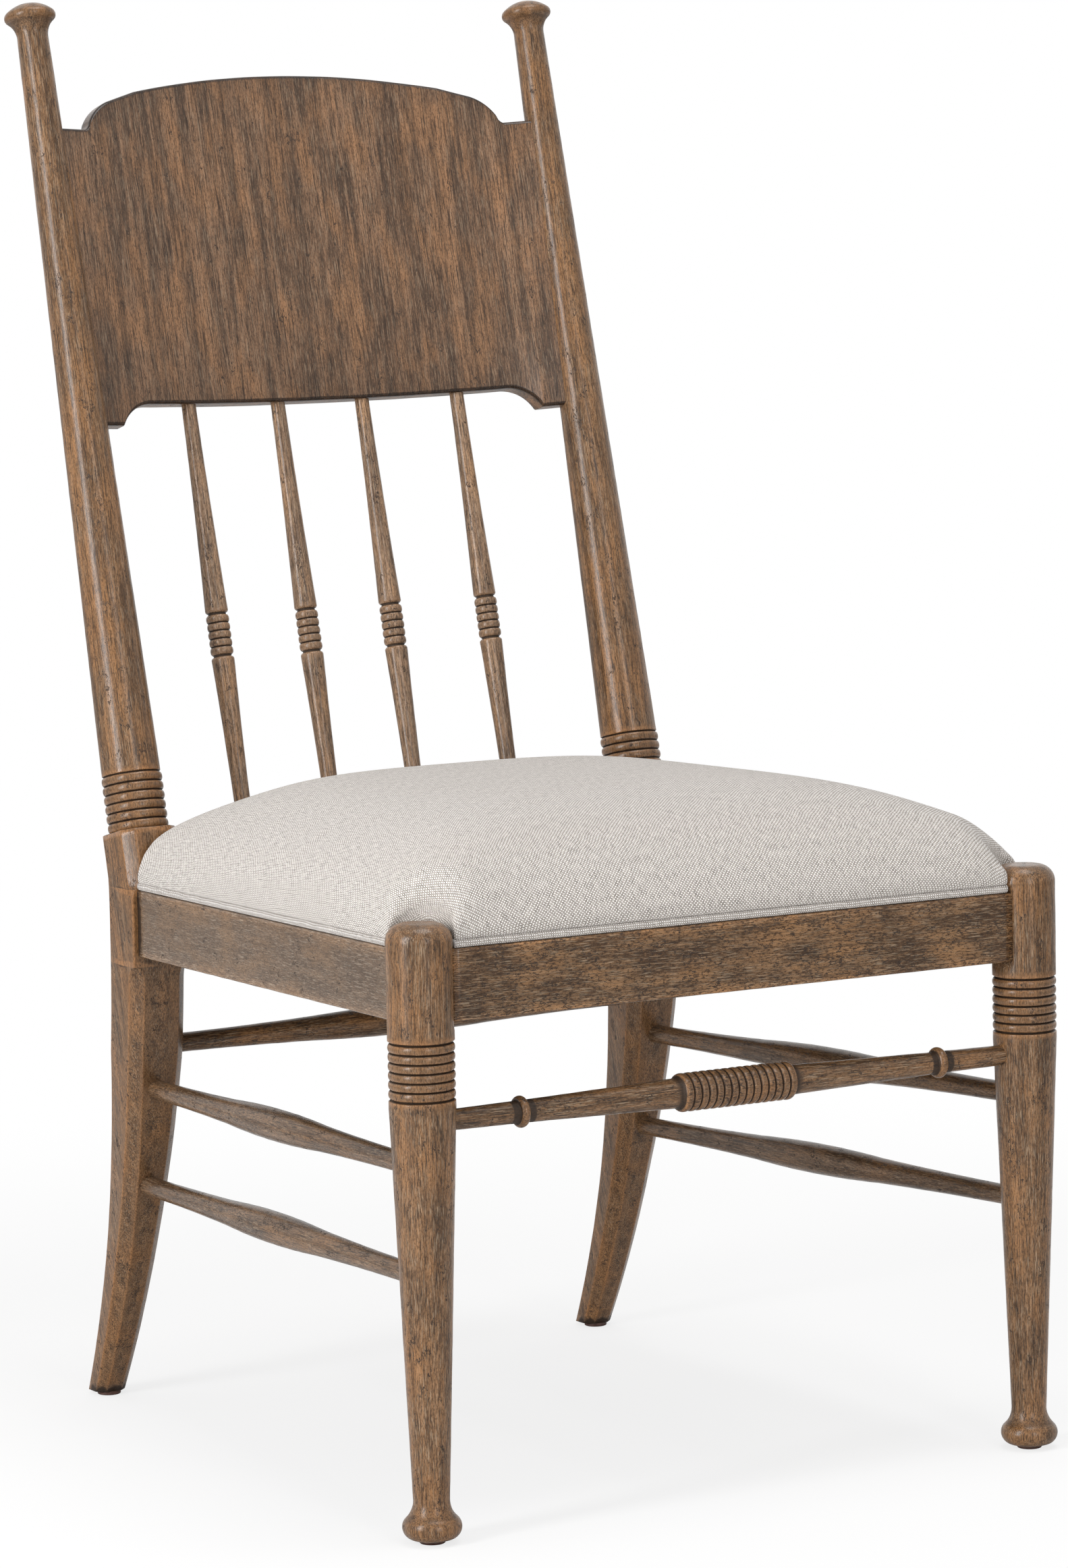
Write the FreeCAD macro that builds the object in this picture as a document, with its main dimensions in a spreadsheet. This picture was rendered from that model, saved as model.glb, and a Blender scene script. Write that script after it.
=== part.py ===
"""Side chair: turned front legs, raked rear posts, bowed back panel over four spindles, upholstered seat.

Millimetres, +Z up. The chair faces -Y, and its origin is on the floor under the middle of its overall depth
and width. Every size is a cell of the sheet, and each piece is bound to those cells.
"""

import FreeCAD, Part
import math
import os
import Sketcher

from FreeCAD import Placement, Rotation, Vector

SIZES = (
    # front legs
    ("leg_axis_x", 249.4, "front leg axis, out from the centre line"),
    ("leg_radius", 23.0, "front leg, square-shouldered upper part"),
    ("leg_top_z", 427.5, "top of the front leg"),
    ("leg_top_round", 12.0, "roundover of the leg's top"),
    ("leg_block_z", 346.0, "underside of the leg's upper part"),
    ("leg_bead_pitch", 6.4, "one bead of the leg"),
    ("leg_bead_depth", 2.4, "depth of the quirks between beads"),
    ("leg_bead_count", 6, "beads on the leg"),
    ("leg_ankle_radius", 12.5, "leg just above its bun foot"),
    ("leg_ankle_z", 26.0, "height of the ankle"),
    ("bun_radius", 20.1, "bun foot at its widest"),
    ("bun_height", 19.0, "height of the bun"),
    ("bun_lip", 0.6, "bun's neck outside the ankle"),
    ("leg_shoulder", 6.5, "straight part at the top of the leg's taper"),
    ("quirk", 1.5, "small step beside beads and rail flats"),
    # glides
    ("glide_radius", 9.0, "glide disc"),
    ("glide_height", 3.0, "glide disc thickness"),
    ("glide_nail_radius", 1.5, "glide nail"),
    ("glide_nail_length", 14.0, "glide nail above the disc"),
    ("glide_lead", 4.0, "rear glide forward of the foot's middle"),
    # rear posts
    ("post_axis_x", 219.0, "rear post axis, out from the centre line"),
    ("post_setback", 474.5, "rear post axis behind the front leg axis, at seat height"),
    ("post_width", 46.0, "rear post block, across the chair"),
    ("post_depth", 48.0, "rear post block, front to back"),
    ("post_chamfer", 8.5, "corner chamfer of the rear post"),
    ("post_arris", 0.8, "eased corner at the seat rails"),
    ("sabre_radius", 790.0, "bend of the rear leg's centre line"),
    ("sabre_start_z", 372.0, "height where the rear leg starts to sweep back"),
    ("rear_foot_width", 25.0, "rear foot across"),
    ("rear_taper_z", 277.0, "height where the rear leg reaches its full width"),
    ("tongue_low_z", 346.0, "lower end of the square faces at the rails"),
    ("tongue_length", 12.0, "run of the lamb's tongue stops"),
    ("rake_z", 409.0, "height where the post starts to lean back"),
    ("rake_angle", 13.53, "lean of the back, degrees"),
    ("block_top", 35.5, "end of the post's block, along the lean"),
    ("post_bead_radius", 22.9, "beads above the block"),
    ("post_bead_pitch", 7.1, "one bead of the post"),
    ("post_bead_depth", 2.4, "depth of the quirks between post beads"),
    ("post_bead_count", 6, "beads on the post"),
    ("post_base_radius", 22.2, "turned post just above its beads"),
    ("post_neck_radius", 12.0, "turned post below the finial"),
    ("neck_at", 648.0, "neck of the post, along the lean"),
    ("finial_radius", 19.7, "finial at its widest"),
    ("finial_height", 26.7, "finial above the neck"),
    ("finial_flare", 13.0, "hollow flare under the finial's rim"),
    ("finial_rim", 7.0, "height of the finial's rim"),
    ("finial_rim_round", 1.7, "roundness of the finial's rim"),
    # back panel and spindles
    ("back_bow", 29.0, "bow of the back between the post axes"),
    ("panel_thickness", 17.0, "back panel"),
    ("panel_bottom", 362.5, "panel's lower edge, along the lean"),
    ("panel_drop", 17.0, "drop of the panel's lower ears"),
    ("panel_ear_x", 184.5, "inner edge of the panel's ears"),
    ("panel_shoulder", 576.5, "panel's upper shoulders, along the lean"),
    ("panel_crest", 622.0, "panel's crest, along the lean"),
    ("crest_half", 134.0, "half length of the crest's long curve"),
    ("crest_rise", 14.2, "rise of the crest's long curve"),
    ("crest_corner_x", 160.0, "end of the crest's corner curve, out from the centre line"),
    ("crest_corner_at", 599.5, "end of the crest's corner curve, along the lean"),
    ("crest_corner_rise", 2.2, "bulge of the crest's corner curve"),
    ("crest_cove_x", 179.5, "top of the small cove over the shoulder, out from the centre line"),
    ("crest_cove_at", 583.0, "top of the small cove over the shoulder, along the lean"),
    ("crest_cove_rise", 1.0, "hollow of the small cove"),
    ("panel_cove", 26.5, "length of the curve beside each lower ear"),
    ("panel_cove_rise", 4.2, "hollow of the curve beside each lower ear"),
    ("panel_tenon_back", -0.6, "panel tenon behind the bow's middle line"),
    ("panel_tenon_thickness", 9.0, "panel tenon in the post"),
    ("panel_tenon_reach", 212.0, "end of the panel tenon, out from the centre line"),
    ("spindle_inner_x", 37.2, "inner spindles"),
    ("spindle_outer_x", 118.4, "outer spindles"),
    ("spindle_top_radius", 5.5, "spindle at the panel"),
    ("spindle_foot_radius", 6.0, "spindle at the rear rail"),
    ("spindle_swell_radius", 8.8, "spindle at its beads"),
    ("spindle_bead_at", 167.5, "lower end of the spindle's beads, along the lean"),
    ("spindle_bead_pitch", 6.16, "one bead of the spindle"),
    ("spindle_bead_depth", 1.6, "depth of the quirks between spindle beads"),
    ("spindle_bead_count", 5, "beads on the spindle"),
    ("spindle_socket", 16.0, "depth of the spindle sockets"),
    ("spindle_corner", 2.2, "rounded corner beside the spindle's beads"),
    ("spindle_hollow", 0.5, "hollow of the spindle's tapers"),
    # seat rails
    ("rail_top_z", 409.3, "top of the front rail"),
    ("rail_height", 49.8, "front and side rails"),
    ("rail_thickness", 22.0, "front and side rails"),
    ("rail_arris", 2.0, "rounded front arrises of the front rail"),
    ("rail_setback", 12.5, "front rail face, forward of the leg axis"),
    ("flat_offset", 18.5, "flat on the round leg that a rail shoulders on"),
    ("seat_fall", 6.0, "fall of the side rails towards the back"),
    ("side_rail_inset", 4.0, "side rail inside the post's outer face"),
    ("rear_rail_thickness", 24.0, "rear rail"),
    ("rear_rail_top_z", 432.0, "top of the rear rail"),
    ("rear_rail_back", 3.5, "rear rail's curve behind the post axis"),
    ("tenon_thickness", 10.0, "rail tenons"),
    ("tenon_length", 14.0, "rail tenons"),
    ("tenon_shoulder", 6.0, "rail above and below its tenon"),
    # stretchers
    ("stretcher_radius", 7.2, "stretchers where they enter the legs"),
    ("stretcher_socket", 15.0, "length of a stretcher inside a leg"),
    ("swell_radius", 11.6, "plain stretchers at the middle"),
    ("swell_shoulder", 9.5, "plain stretchers where the middle swell starts"),
    ("swell_half", 77.0, "half length of the middle swell"),
    ("swell_hollow", 0.55, "hollow of a plain stretcher's ends"),
    ("front_stretcher_z", 290.5, "front stretcher"),
    ("rear_stretcher_z", 281.0, "rear stretcher"),
    ("upper_side_z", 259.2, "upper side stretcher at the front leg"),
    ("lower_side_z", 183.4, "lower side stretcher at the front leg"),
    ("side_stretcher_fall", 9.4, "fall of the side stretchers towards the back"),
    ("ring_radius", 13.65, "front stretcher's ring group"),
    ("ring_pitch", 6.1, "one ring"),
    ("ring_depth", 1.8, "depth of the quirks between rings"),
    ("ring_count", 15, "rings in the middle of the front stretcher"),
    ("ring_body_radius", 10.6, "front stretcher beside the rings"),
    ("collar_x", 173.0, "front stretcher's collars, out from the middle"),
    ("collar_width", 7.0, "collar"),
    ("collar_radius", 11.15, "collar"),
    ("collar_body_radius", 7.9, "front stretcher beside the collars"),
    # seat
    ("board_thickness", 12.0, "plywood seat board"),
    ("board_inset", 9.0, "seat board inside the rails' outer faces"),
    ("cover_thickness", 1.5, "seat fabric with its wadding"),
    ("side_height", 12.0, "upright side of the cushion"),
    ("crown_height", 72.0, "crown of the cushion above its upright side"),
    ("crown_power", 3.2, "fullness of the cushion"),
    ("welt_size", 6.5, "welt cord around the seat"),
    ("soft_gap", 0.6, "clearance of the cushion round the legs, posts and rear rail"),
    ("dust_thickness", 1.0, "dust cover under the seat"),
    ("dust_inset", 2.0, "dust cover inside the rails"),
    # blocks and screws
    ("corner_block_height", 22.0, "corner blocks"),
    ("corner_block_below", 2.0, "corner blocks below the tops of the rails"),
    ("block_heel_in", 29.4, "front block's inner corner on the front rail, in from the leg axis"),
    ("block_toe_in", 67.4, "front block's far corner on the front rail, in from the leg axis"),
    ("block_heel_back", 30.0, "front block's inner corner on the side rail, behind the leg axis"),
    ("block_toe_back", 68.0, "front block's far corner on the side rail, behind the leg axis"),
    ("rear_heel_in", 24.0, "rear block's inner corner on the rear rail, in from the post"),
    ("rear_toe_in", 61.0, "rear block's far corner on the rear rail, in from the post"),
    ("rear_heel_forward", 30.5, "rear block's inner corner on the side rail, ahead of the post"),
    ("rear_toe_forward", 65.5, "rear block's far corner on the side rail, ahead of the post"),
    ("front_screw_in", 45.4, "screw into the front rail, in from the leg axis"),
    ("side_screw_back", 50.0, "screw from a front block into the side rail, behind the leg axis"),
    ("rear_screw_in", 41.0, "screw into the rear rail, in from the post"),
    ("side_screw_forward", 45.5, "screw from a rear block into the side rail, ahead of the post"),
    ("front_seat_screw_in", 34.4, "front seat screw, in from the leg axis"),
    ("front_seat_screw_back", 29.0, "front seat screw, behind the leg axis"),
    ("rear_seat_screw_in", 10.0, "rear seat screw, in from the post"),
    ("rear_seat_screw_forward", 8.5, "rear seat screw, ahead of the post"),
    ("block_screw_grip", 14.0, "block screw's head seat from the rail"),
    ("screw_radius", 2.2, "screws"),
    ("screw_head_radius", 4.2, "screw heads"),
    ("screw_head_height", 2.6, "screw heads"),
    ("block_screw_length", 24.0, "corner block screws"),
    ("seat_screw_length", 31.0, "seat board screws"),
    ("fit_gap", 0.1, "clearance of sockets, mortises and screw holes"),
)

# shares and counts that shape curves only
QUARTER_RISE = 1 - 1 / math.sqrt(2)
CHAMFER_SHARE = 0.245
SWEEP_STEPS = 9
CROWN_ANGLES = (0, 18, 36, 54, 72, 84)
SIDE_SHARE = 0.75
CORNER_SHARE = 0.07
FLAT_SAG = 0.01
PLAN_PASSES = 4

doc = FreeCAD.newDocument("SideChair")
sheet = doc.addObject("Spreadsheet::Sheet", "Sizes")


class Size:
    """A number together with the sheet expression that gives it."""

    def __init__(self, value, text):
        self.value = float(value)
        self.text = text

    def __add__(self, other):
        other = as_size(other)
        return Size(self.value + other.value, f"({self.text} + {other.text})")

    def __sub__(self, other):
        other = as_size(other)
        return Size(self.value - other.value, f"({self.text} - {other.text})")

    def __mul__(self, other):
        other = as_size(other)
        return Size(self.value * other.value, f"({self.text} * {other.text})")

    def __truediv__(self, other):
        other = as_size(other)
        return Size(self.value / other.value, f"({self.text} / {other.text})")

    def __radd__(self, other):
        return as_size(other) + self

    def __rsub__(self, other):
        return as_size(other) - self

    def __rmul__(self, other):
        return as_size(other) * self

    def __neg__(self):
        return as_size(0) - self


def as_size(number):
    """A Size from a plain number, or the Size itself."""
    return number if isinstance(number, Size) else Size(number, f"({float(number):.6f})")


def sine(angle):
    return Size(math.sin(math.radians(angle.value)), f"sin({angle.text})")


def cosine(angle):
    return Size(math.cos(math.radians(angle.value)), f"cos({angle.text})")


def root(size):
    return Size(math.sqrt(size.value), f"sqrt({size.text})")


def fill_sheet():
    """Write each driving size and its note into the sheet, and give back the Sizes by name."""
    for row, (name, value, note) in enumerate(SIZES, start=1):
        sheet.set(f"A{row}", note)
        sheet.set(f"B{row}", str(value))
        sheet.setAlias(f"B{row}", name)
    doc.recompute()
    return {name: Size(value, f"Sizes.{name}") for name, value, _ in SIZES}


S = fill_sheet()

# The origin lies under the middle of the depth, from the legs' front to whatever reaches furthest back.
FINIAL_AT = S["neck_at"] + S["finial_flare"] + S["finial_rim"] / 2
FINIAL_BACK = (S["post_setback"] + FINIAL_AT * sine(S["rake_angle"])
               + S["finial_radius"] * cosine(S["rake_angle"]))
CREST_BACK = (S["post_setback"] + S["panel_crest"] * sine(S["rake_angle"])
              + (S["back_bow"] + S["panel_thickness"] / 2) * cosine(S["rake_angle"]))
BACK_MOST = CREST_BACK if CREST_BACK.value > FINIAL_BACK.value else FINIAL_BACK
FRONT_Y = (S["leg_radius"] - BACK_MOST) / 2
SIDES = (("left", -1), ("right", 1))

pieces = []


def finish(node, item, x=0, y=0, z=0, turn=Rotation()):
    """Name a finished piece and place it, with y counted from the front leg axis."""
    item.Label = node
    spot = (as_size(x), as_size(y) + FRONT_Y, as_size(z))
    item.Placement = Placement(Vector(*(part.value for part in spot)), turn)
    for letter, part in zip("xyz", spot):
        item.setExpression(f"Placement.Base.{letter}", part.text)
    pieces.append(item)
    return item


def draw(body, plane, points, name):
    """Sketch a closed outline of (u, v) or (u, v, rise) points, where rise bows the edge that ends there."""
    sketch = body.newObject("Sketcher::SketchObject", name)
    planes = {item.Role: item for item in body.Origin.OriginFeatures}
    sketch.AttachmentSupport = [(planes[plane], "")]
    sketch.MapMode = "FlatFace"
    spots = [(as_size(point[0]), as_size(point[1])) for point in points]
    ends = []
    for index, point in enumerate(points):
        start, end = spots[index - 1], spots[index]
        first = Vector(start[0].value, start[1].value, 0)
        last = Vector(end[0].value, end[1].value, 0)
        if len(point) < 3:
            edge = sketch.addGeometry(Part.LineSegment(first, last))
            ends.append((edge, 1, 2))
            continue
        rise = as_size(point[2])
        along = last - first
        across = Vector(along.y, -along.x, 0).normalize()
        middle = (first + last) * 0.5 + across * rise.value
        if rise.value > 0:
            edge = sketch.addGeometry(Part.Arc(first, middle, last))
            ends.append((edge, 1, 2))
        else:
            edge = sketch.addGeometry(Part.Arc(last, middle, first))
            ends.append((edge, 2, 1))
        wide, high = end[0] - start[0], end[1] - start[1]
        chord = wide * wide + high * high
        size = rise if rise.value > 0 else -rise
        radius = (chord / 4 + size * size) / (2 * size)
        number = sketch.addConstraint(Sketcher.Constraint("Radius", edge, radius.value))
        sketch.setExpression(f"Constraints[{number}]", radius.text)
    for index, (edge, start, end) in enumerate(ends):
        following = ends[(index + 1) % len(ends)]
        sketch.addConstraint(Sketcher.Constraint("Coincident", edge, end, following[0], following[1]))
        for kind, axis, size in (("DistanceX", -2, spots[index][0]), ("DistanceY", -1, spots[index][1])):
            if abs(size.value) < 1e-9:
                sketch.addConstraint(Sketcher.Constraint("PointOnObject", edge, end, axis))
                continue
            number = sketch.addConstraint(Sketcher.Constraint(kind, -1, 1, edge, end, size.value))
            sketch.setExpression(f"Constraints[{number}]", size.text)
    return sketch


def turned(name, points):
    """A lathe-turned body about its own Z axis, from its outline of radius and height."""
    body = doc.addObject("PartDesign::Body", name)
    sketch = draw(body, "XZ_Plane", points, name + "_outline")
    spin = body.newObject("PartDesign::Revolution", name + "_turning")
    spin.Profile = sketch
    spin.ReferenceAxis = (sketch, ["V_Axis"])
    spin.Angle = 360.0
    return body


def padded(name, plane, points, length, start=0):
    """A body padded from a flat outline, from start to start plus length along the plane's own axis."""
    body = doc.addObject("PartDesign::Body", name)
    sketch = draw(body, plane, points, name + "_outline")
    pad = body.newObject("PartDesign::Pad", name + "_pad")
    pad.Profile = sketch
    length = as_size(length)
    pad.Length = length.value
    pad.setExpression("Length", length.text)
    pad.Reversed = plane == "XZ_Plane"
    letter = {"XY_Plane": "z", "XZ_Plane": "y", "YZ_Plane": "x"}[plane]
    move = as_size(start)
    body.Placement = Placement(Vector(*(move.value if axis == letter else 0 for axis in "xyz")), Rotation())
    body.setExpression(f"Placement.Base.{letter}", move.text)
    return body


def box(name, spans):
    """A box from three (low, high) spans, in either order."""
    item = doc.addObject("Part::Box", name)
    for letter, side, span in zip("xyz", ("Length", "Width", "Height"), spans):
        low, high = sorted((as_size(end) for end in span), key=lambda end: end.value)
        item.setExpression(side, (high - low).text)
        item.setExpression(f"Placement.Base.{letter}", low.text)
    return item


def rod(name, start, toward, radius, length):
    """A cylinder of a radius and length that starts at a point and runs along a direction."""
    item = doc.addObject("Part::Cylinder", name)
    spot = [as_size(part) for part in start]
    item.Placement = Placement(Vector(*(part.value for part in spot)), Rotation(Vector(0, 0, 1), toward))
    for letter, part in zip("xyz", spot):
        item.setExpression(f"Placement.Base.{letter}", part.text)
    item.setExpression("Radius", as_size(radius).text)
    item.setExpression("Height", as_size(length).text)
    return item


def fused(name, items):
    item = doc.addObject("Part::MultiFuse", name)
    item.Shapes = items
    return item


def common(name, first, second):
    item = doc.addObject("Part::Common", name)
    item.Base = first
    item.Tool = second
    return item


def cut(name, base, tools):
    """Cut several tools out of a base in one go."""
    item = doc.addObject("Part::Cut", name)
    item.Base = base
    item.Tool = tools[0] if len(tools) == 1 else fused(name + "_tools", tools)
    return item


def formed(name, shape):
    """An object whose shape comes from a function of the sizes."""
    item = doc.addObject("Part::Feature", name)
    item.Shape = shape
    return item


def beads(radius, depth, pitch, count, start):
    """Outline points of a run of half-round beads that climbs from start."""
    core = radius - depth
    points = [(core, start)]
    for number in range(1, int(count.value) + 1):
        points.append((core, start + pitch * number, depth))
    return points


def mid_arc(x):
    """How far the bowed back lies behind the straight line between the post axes, at x."""
    x = as_size(x)
    half, bow = S["post_axis_x"], S["back_bow"]
    radius = (half * half + bow * bow) / (2 * bow)
    return bow - radius + root(radius * radius - x * x)


def rear_leg_y(z):
    """Setback of the rear leg's centre line at a height, on its sweep."""
    z = as_size(z)
    if z.value >= S["sabre_start_z"].value:
        return S["post_setback"]
    down = S["sabre_start_z"] - z
    return S["post_setback"] + S["sabre_radius"] - root(S["sabre_radius"] * S["sabre_radius"] - down * down)


RAIL_BACK = S["rail_thickness"] - S["rail_setback"]
RAIL_LOW = S["rail_top_z"] - S["rail_height"]
POST_FRONT = S["post_setback"] - S["post_depth"] / 2
POST_INNER = S["post_axis_x"] - S["post_width"] / 2
RAIL_OUT_FRONT = S["leg_axis_x"] + S["rail_setback"]
RAIL_OUT_BACK = S["post_axis_x"] + S["post_width"] / 2 - S["side_rail_inset"]
SLOPE = S["seat_fall"] / (POST_FRONT - RAIL_BACK)
SEAT_TILT = Rotation(Vector(1, 0, 0), -math.degrees(math.atan(SLOPE.value)))
LEAN = Rotation(Vector(1, 0, 0), -S["rake_angle"].value)
UP = Vector(0, 0, 1)


def seat_z(y):
    """Height of the rails' tops, which fall towards the back from the front rail's inner edge."""
    return S["rail_top_z"] - SLOPE * (as_size(y) - RAIL_BACK)


def rail_out(y):
    """Outer face of a side rail at y, out from the centre line."""
    toe = (RAIL_OUT_FRONT - RAIL_OUT_BACK) / (POST_FRONT - S["flat_offset"])
    return RAIL_OUT_FRONT - toe * (as_size(y) - S["flat_offset"])


def rear_rail_front(x):
    """Front face of the bowed rear rail at x."""
    return S["post_setback"] + S["rear_rail_back"] + mid_arc(x) - S["rear_rail_thickness"] / 2


def leaning(node, item, x=0, behind=0):
    """Finish a piece that is drawn upright and leans back with the posts, from the height of the rake."""
    behind = as_size(behind)
    y = S["post_setback"] + behind * cosine(S["rake_angle"])
    z = S["rake_z"] - behind * sine(S["rake_angle"])
    return finish(node, item, x, y, z, LEAN)


def tilt_with_seat(item):
    """Lay a raw seat piece, drawn flat at height zero, on the falling tops of the rails."""
    item.Placement = Placement(Vector(0, 0, seat_z(0).value), SEAT_TILT)
    item.setExpression("Placement.Base.z", seat_z(0).text)
    return item


def leg_radius_at(z):
    """Radius of the front leg's long taper at a height."""
    top = S["leg_block_z"] - S["leg_bead_pitch"] * S["leg_bead_count"]
    share = (as_size(z) - S["leg_ankle_z"]) / (top - S["leg_ankle_z"])
    return S["leg_ankle_radius"] + share * (S["leg_radius"] - S["leg_ankle_radius"])


def rear_leg_width(z):
    """Width of the rear leg at a height, which tapers towards the foot."""
    low, high = S["glide_height"], S["rear_taper_z"]
    if as_size(z).value >= high.value:
        return S["post_width"]
    return S["rear_foot_width"] + (S["post_width"] - S["rear_foot_width"]) * ((as_size(z) - low) / (high - low))


def stretcher_ends():
    """End points of every stretcher, on the axes of the legs that hold it."""
    leg_x, post_x = S["leg_axis_x"], S["post_axis_x"]
    front, rear = S["front_stretcher_z"], S["rear_stretcher_z"]
    ends = {
        "front_stretcher": ((-leg_x, 0, front), (leg_x, 0, front)),
        "rear_stretcher": ((-post_x, rear_leg_y(rear), rear), (post_x, rear_leg_y(rear), rear)),
    }
    for label, side in SIDES:
        for level in ("upper", "lower"):
            front_z = S[f"{level}_side_z"]
            rear_z = front_z - S["side_stretcher_fall"]
            ends[f"{level}_side_stretcher_{label}"] = (
                (side * leg_x, 0, front_z), (side * post_x, rear_leg_y(rear_z), rear_z))
    return ends


def stretcher_span(ends):
    """Start, direction and length of a stretcher, with the part of it that is inside each leg."""
    points = [Vector(*(as_size(part).value for part in end)) for end in ends]
    toward = (points[1] - points[0]).normalize()
    depths = []
    for point in points:
        front = point.y < POST_FRONT.value / 2
        face = leg_radius_at(point.z) if front else rear_leg_width(point.z) / 2
        depths.append((face - S["stretcher_socket"]).value)
    start = points[0] + toward * depths[0]
    end = points[1] - toward * depths[1]
    return start, toward, (end - start).Length


STRETCHERS = stretcher_ends()


def sockets(name, side, rear):
    """Tools for the stretcher sockets of one leg, in the leg's own frame."""
    tools = []
    axis_x = side * (S["post_axis_x"] if rear else S["leg_axis_x"])
    axis_y = S["post_setback"] if rear else as_size(0)
    radius = S["stretcher_radius"] + S["fit_gap"]
    for stretcher, ends in STRETCHERS.items():
        start, toward, length = stretcher_span(ends)
        for end, base, way in ((ends[0], start, toward), (ends[1], start + toward * length, -toward)):
            in_this_leg = (as_size(end[1]).value > POST_FRONT.value / 2) == rear
            if not in_this_leg or as_size(end[0]).value * side < 0:
                continue
            base = base - way * S["fit_gap"].value - Vector(axis_x.value, axis_y.value, 0)
            tools.append(rod(f"{name}_{stretcher}_socket", base, way, radius, S["post_depth"]))
    return tools


def leg_outline():
    """Outline of the front leg: bun foot, ankle, long taper, beads and round upper part."""
    radius, block, neck = S["leg_radius"], S["leg_block_z"], S["leg_ankle_radius"] + S["bun_lip"]
    shaft_top = block - S["leg_bead_pitch"] * S["leg_bead_count"]
    bun_top = S["glide_height"] + S["bun_height"]
    top_round = S["leg_top_round"]
    outline = [
        (0, S["glide_height"]),
        (neck, S["glide_height"]),
        (neck, bun_top, S["bun_radius"] - neck),
        (S["leg_ankle_radius"], S["leg_ankle_z"]),
        (radius, shaft_top - S["leg_shoulder"]),
        (radius, shaft_top - S["quirk"]),
    ]
    outline += beads(radius, S["leg_bead_depth"], S["leg_bead_pitch"], S["leg_bead_count"], shaft_top)
    outline += [
        (radius, block + S["quirk"]),
        (radius, S["leg_top_z"] - top_round),
        (radius - top_round, S["leg_top_z"], top_round * QUARTER_RISE),
        (0, S["leg_top_z"]),
    ]
    return outline


def make_front_leg(label, side):
    """A turned front leg with flats and mortises for its rails, and sockets for its stretchers."""
    name = f"front_leg_{label}"
    radius, gap, flat = S["leg_radius"], S["fit_gap"], S["flat_offset"]
    low, high = RAIL_LOW - S["quirk"], S["rail_top_z"] + S["quirk"]
    inset = S["tenon_shoulder"] - gap
    half = S["tenon_thickness"] / 2 + gap
    depth = flat - S["tenon_length"] - gap
    front_mid = S["rail_thickness"] / 2 - S["rail_setback"]
    side_mid = -side * front_mid
    side_top = seat_z(flat)
    tools = [
        box(name + "_front_flat", ((-side * flat, -side * radius * 2), (-radius, radius), (low, high))),
        box(name + "_side_flat", ((-radius, radius), (flat, radius * 2), (low, high))),
        box(name + "_front_mortise", ((-side * depth, -side * radius), (front_mid - half, front_mid + half),
                                      (RAIL_LOW + inset, S["rail_top_z"] - inset))),
        box(name + "_side_mortise", ((side_mid - half, side_mid + half), (depth, radius),
                                     (side_top - S["rail_height"] + inset, side_top - inset))),
        rod(name + "_nail_hole", (0, 0, 0), UP, S["glide_nail_radius"] + gap,
            S["glide_height"] + S["glide_nail_length"] + gap),
    ]
    tools += sockets(name, side, False)
    finish(name, cut(name + "_cut", turned(name + "_turned", leg_outline()), tools), side * S["leg_axis_x"])


def octagon(side, y, z, turn, size, chamfers):
    """A rectangle across the post with chamfered corners, as a wire; chamfers are front, outer and inner rear."""
    half_x, half_y = size[0] / 2, size[1] / 2
    front, outer, inner = chamfers
    corners = (
        (half_x, front - half_y), (half_x, half_y - outer), (half_x - outer, half_y),
        (inner - half_x, half_y), (-half_x, half_y - inner), (-half_x, front - half_y),
        (front - half_x, -half_y), (half_x - front, -half_y),
    )
    points = [Vector(0, y, z) + turn.multVec(Vector(side * x, depth, 0)) for x, depth in corners]
    return Part.makePolygon(points + points[:1])


def rear_leg_sections(side):
    """Sections of the rear leg from its foot to the top of its block, about the post's own axis."""
    chamfer, arris = S["post_chamfer"].value, S["post_arris"].value
    width, depth = S["post_width"].value, S["post_depth"].value
    foot, low = S["glide_height"].value, S["tongue_low_z"].value - S["tongue_length"].value
    taper = S["rear_taper_z"].value
    sections = []
    for step in range(SWEEP_STEPS + 1):
        z = foot + (low - foot) * step / SWEEP_STEPS
        wide = rear_leg_width(z).value
        deep = wide + (depth - width) * max(0.0, (z - taper) / (low - taper))
        corner = min(CHAMFER_SHARE * wide, chamfer)
        y = (rear_leg_y(z) - S["post_setback"]).value
        sections.append(octagon(side, y, z, Rotation(), (wide, deep), (corner, corner, corner)))
    for z in (S["tongue_low_z"], S["rake_z"] - S["tongue_length"] / 2):
        y = (rear_leg_y(z) - S["post_setback"]).value
        sections.append(octagon(side, y, z.value, Rotation(), (width, depth), (arris, chamfer, arris)))
    for along in (S["tongue_length"] / 3, S["block_top"]):
        centre = LEAN.multVec(Vector(0, 0, along.value))
        sections.append(octagon(side, centre.y, centre.z + S["rake_z"].value, LEAN, (width, depth),
                                (chamfer, chamfer, arris)))
    return sections


def post_outline():
    """Outline of the post's turned part, in radius and distance along the lean."""
    top, core = S["block_top"], S["post_bead_radius"] - S["post_bead_depth"]
    above = top + S["post_bead_pitch"] * S["post_bead_count"] + S["quirk"]
    neck, wide = S["post_neck_radius"], S["finial_radius"]
    tall, at = S["finial_height"], S["neck_at"]
    outline = [(0, top - S["tongue_length"]), (core, top - S["tongue_length"])]
    outline += beads(S["post_bead_radius"], S["post_bead_depth"], S["post_bead_pitch"],
                     S["post_bead_count"], top + S["quirk"] / 3)
    rim = wide - S["finial_rim_round"]
    rim_low = at + S["finial_flare"]
    rim_high = rim_low + S["finial_rim"]
    outline += [
        (S["post_base_radius"], above),
        (neck, at),
        (rim, rim_low, -S["finial_rim_round"]),
        (rim, rim_high, S["finial_rim_round"]),
        (0, at + tall, dome_rise(rim, at + tall - rim_high)),
    ]
    return outline


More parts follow.
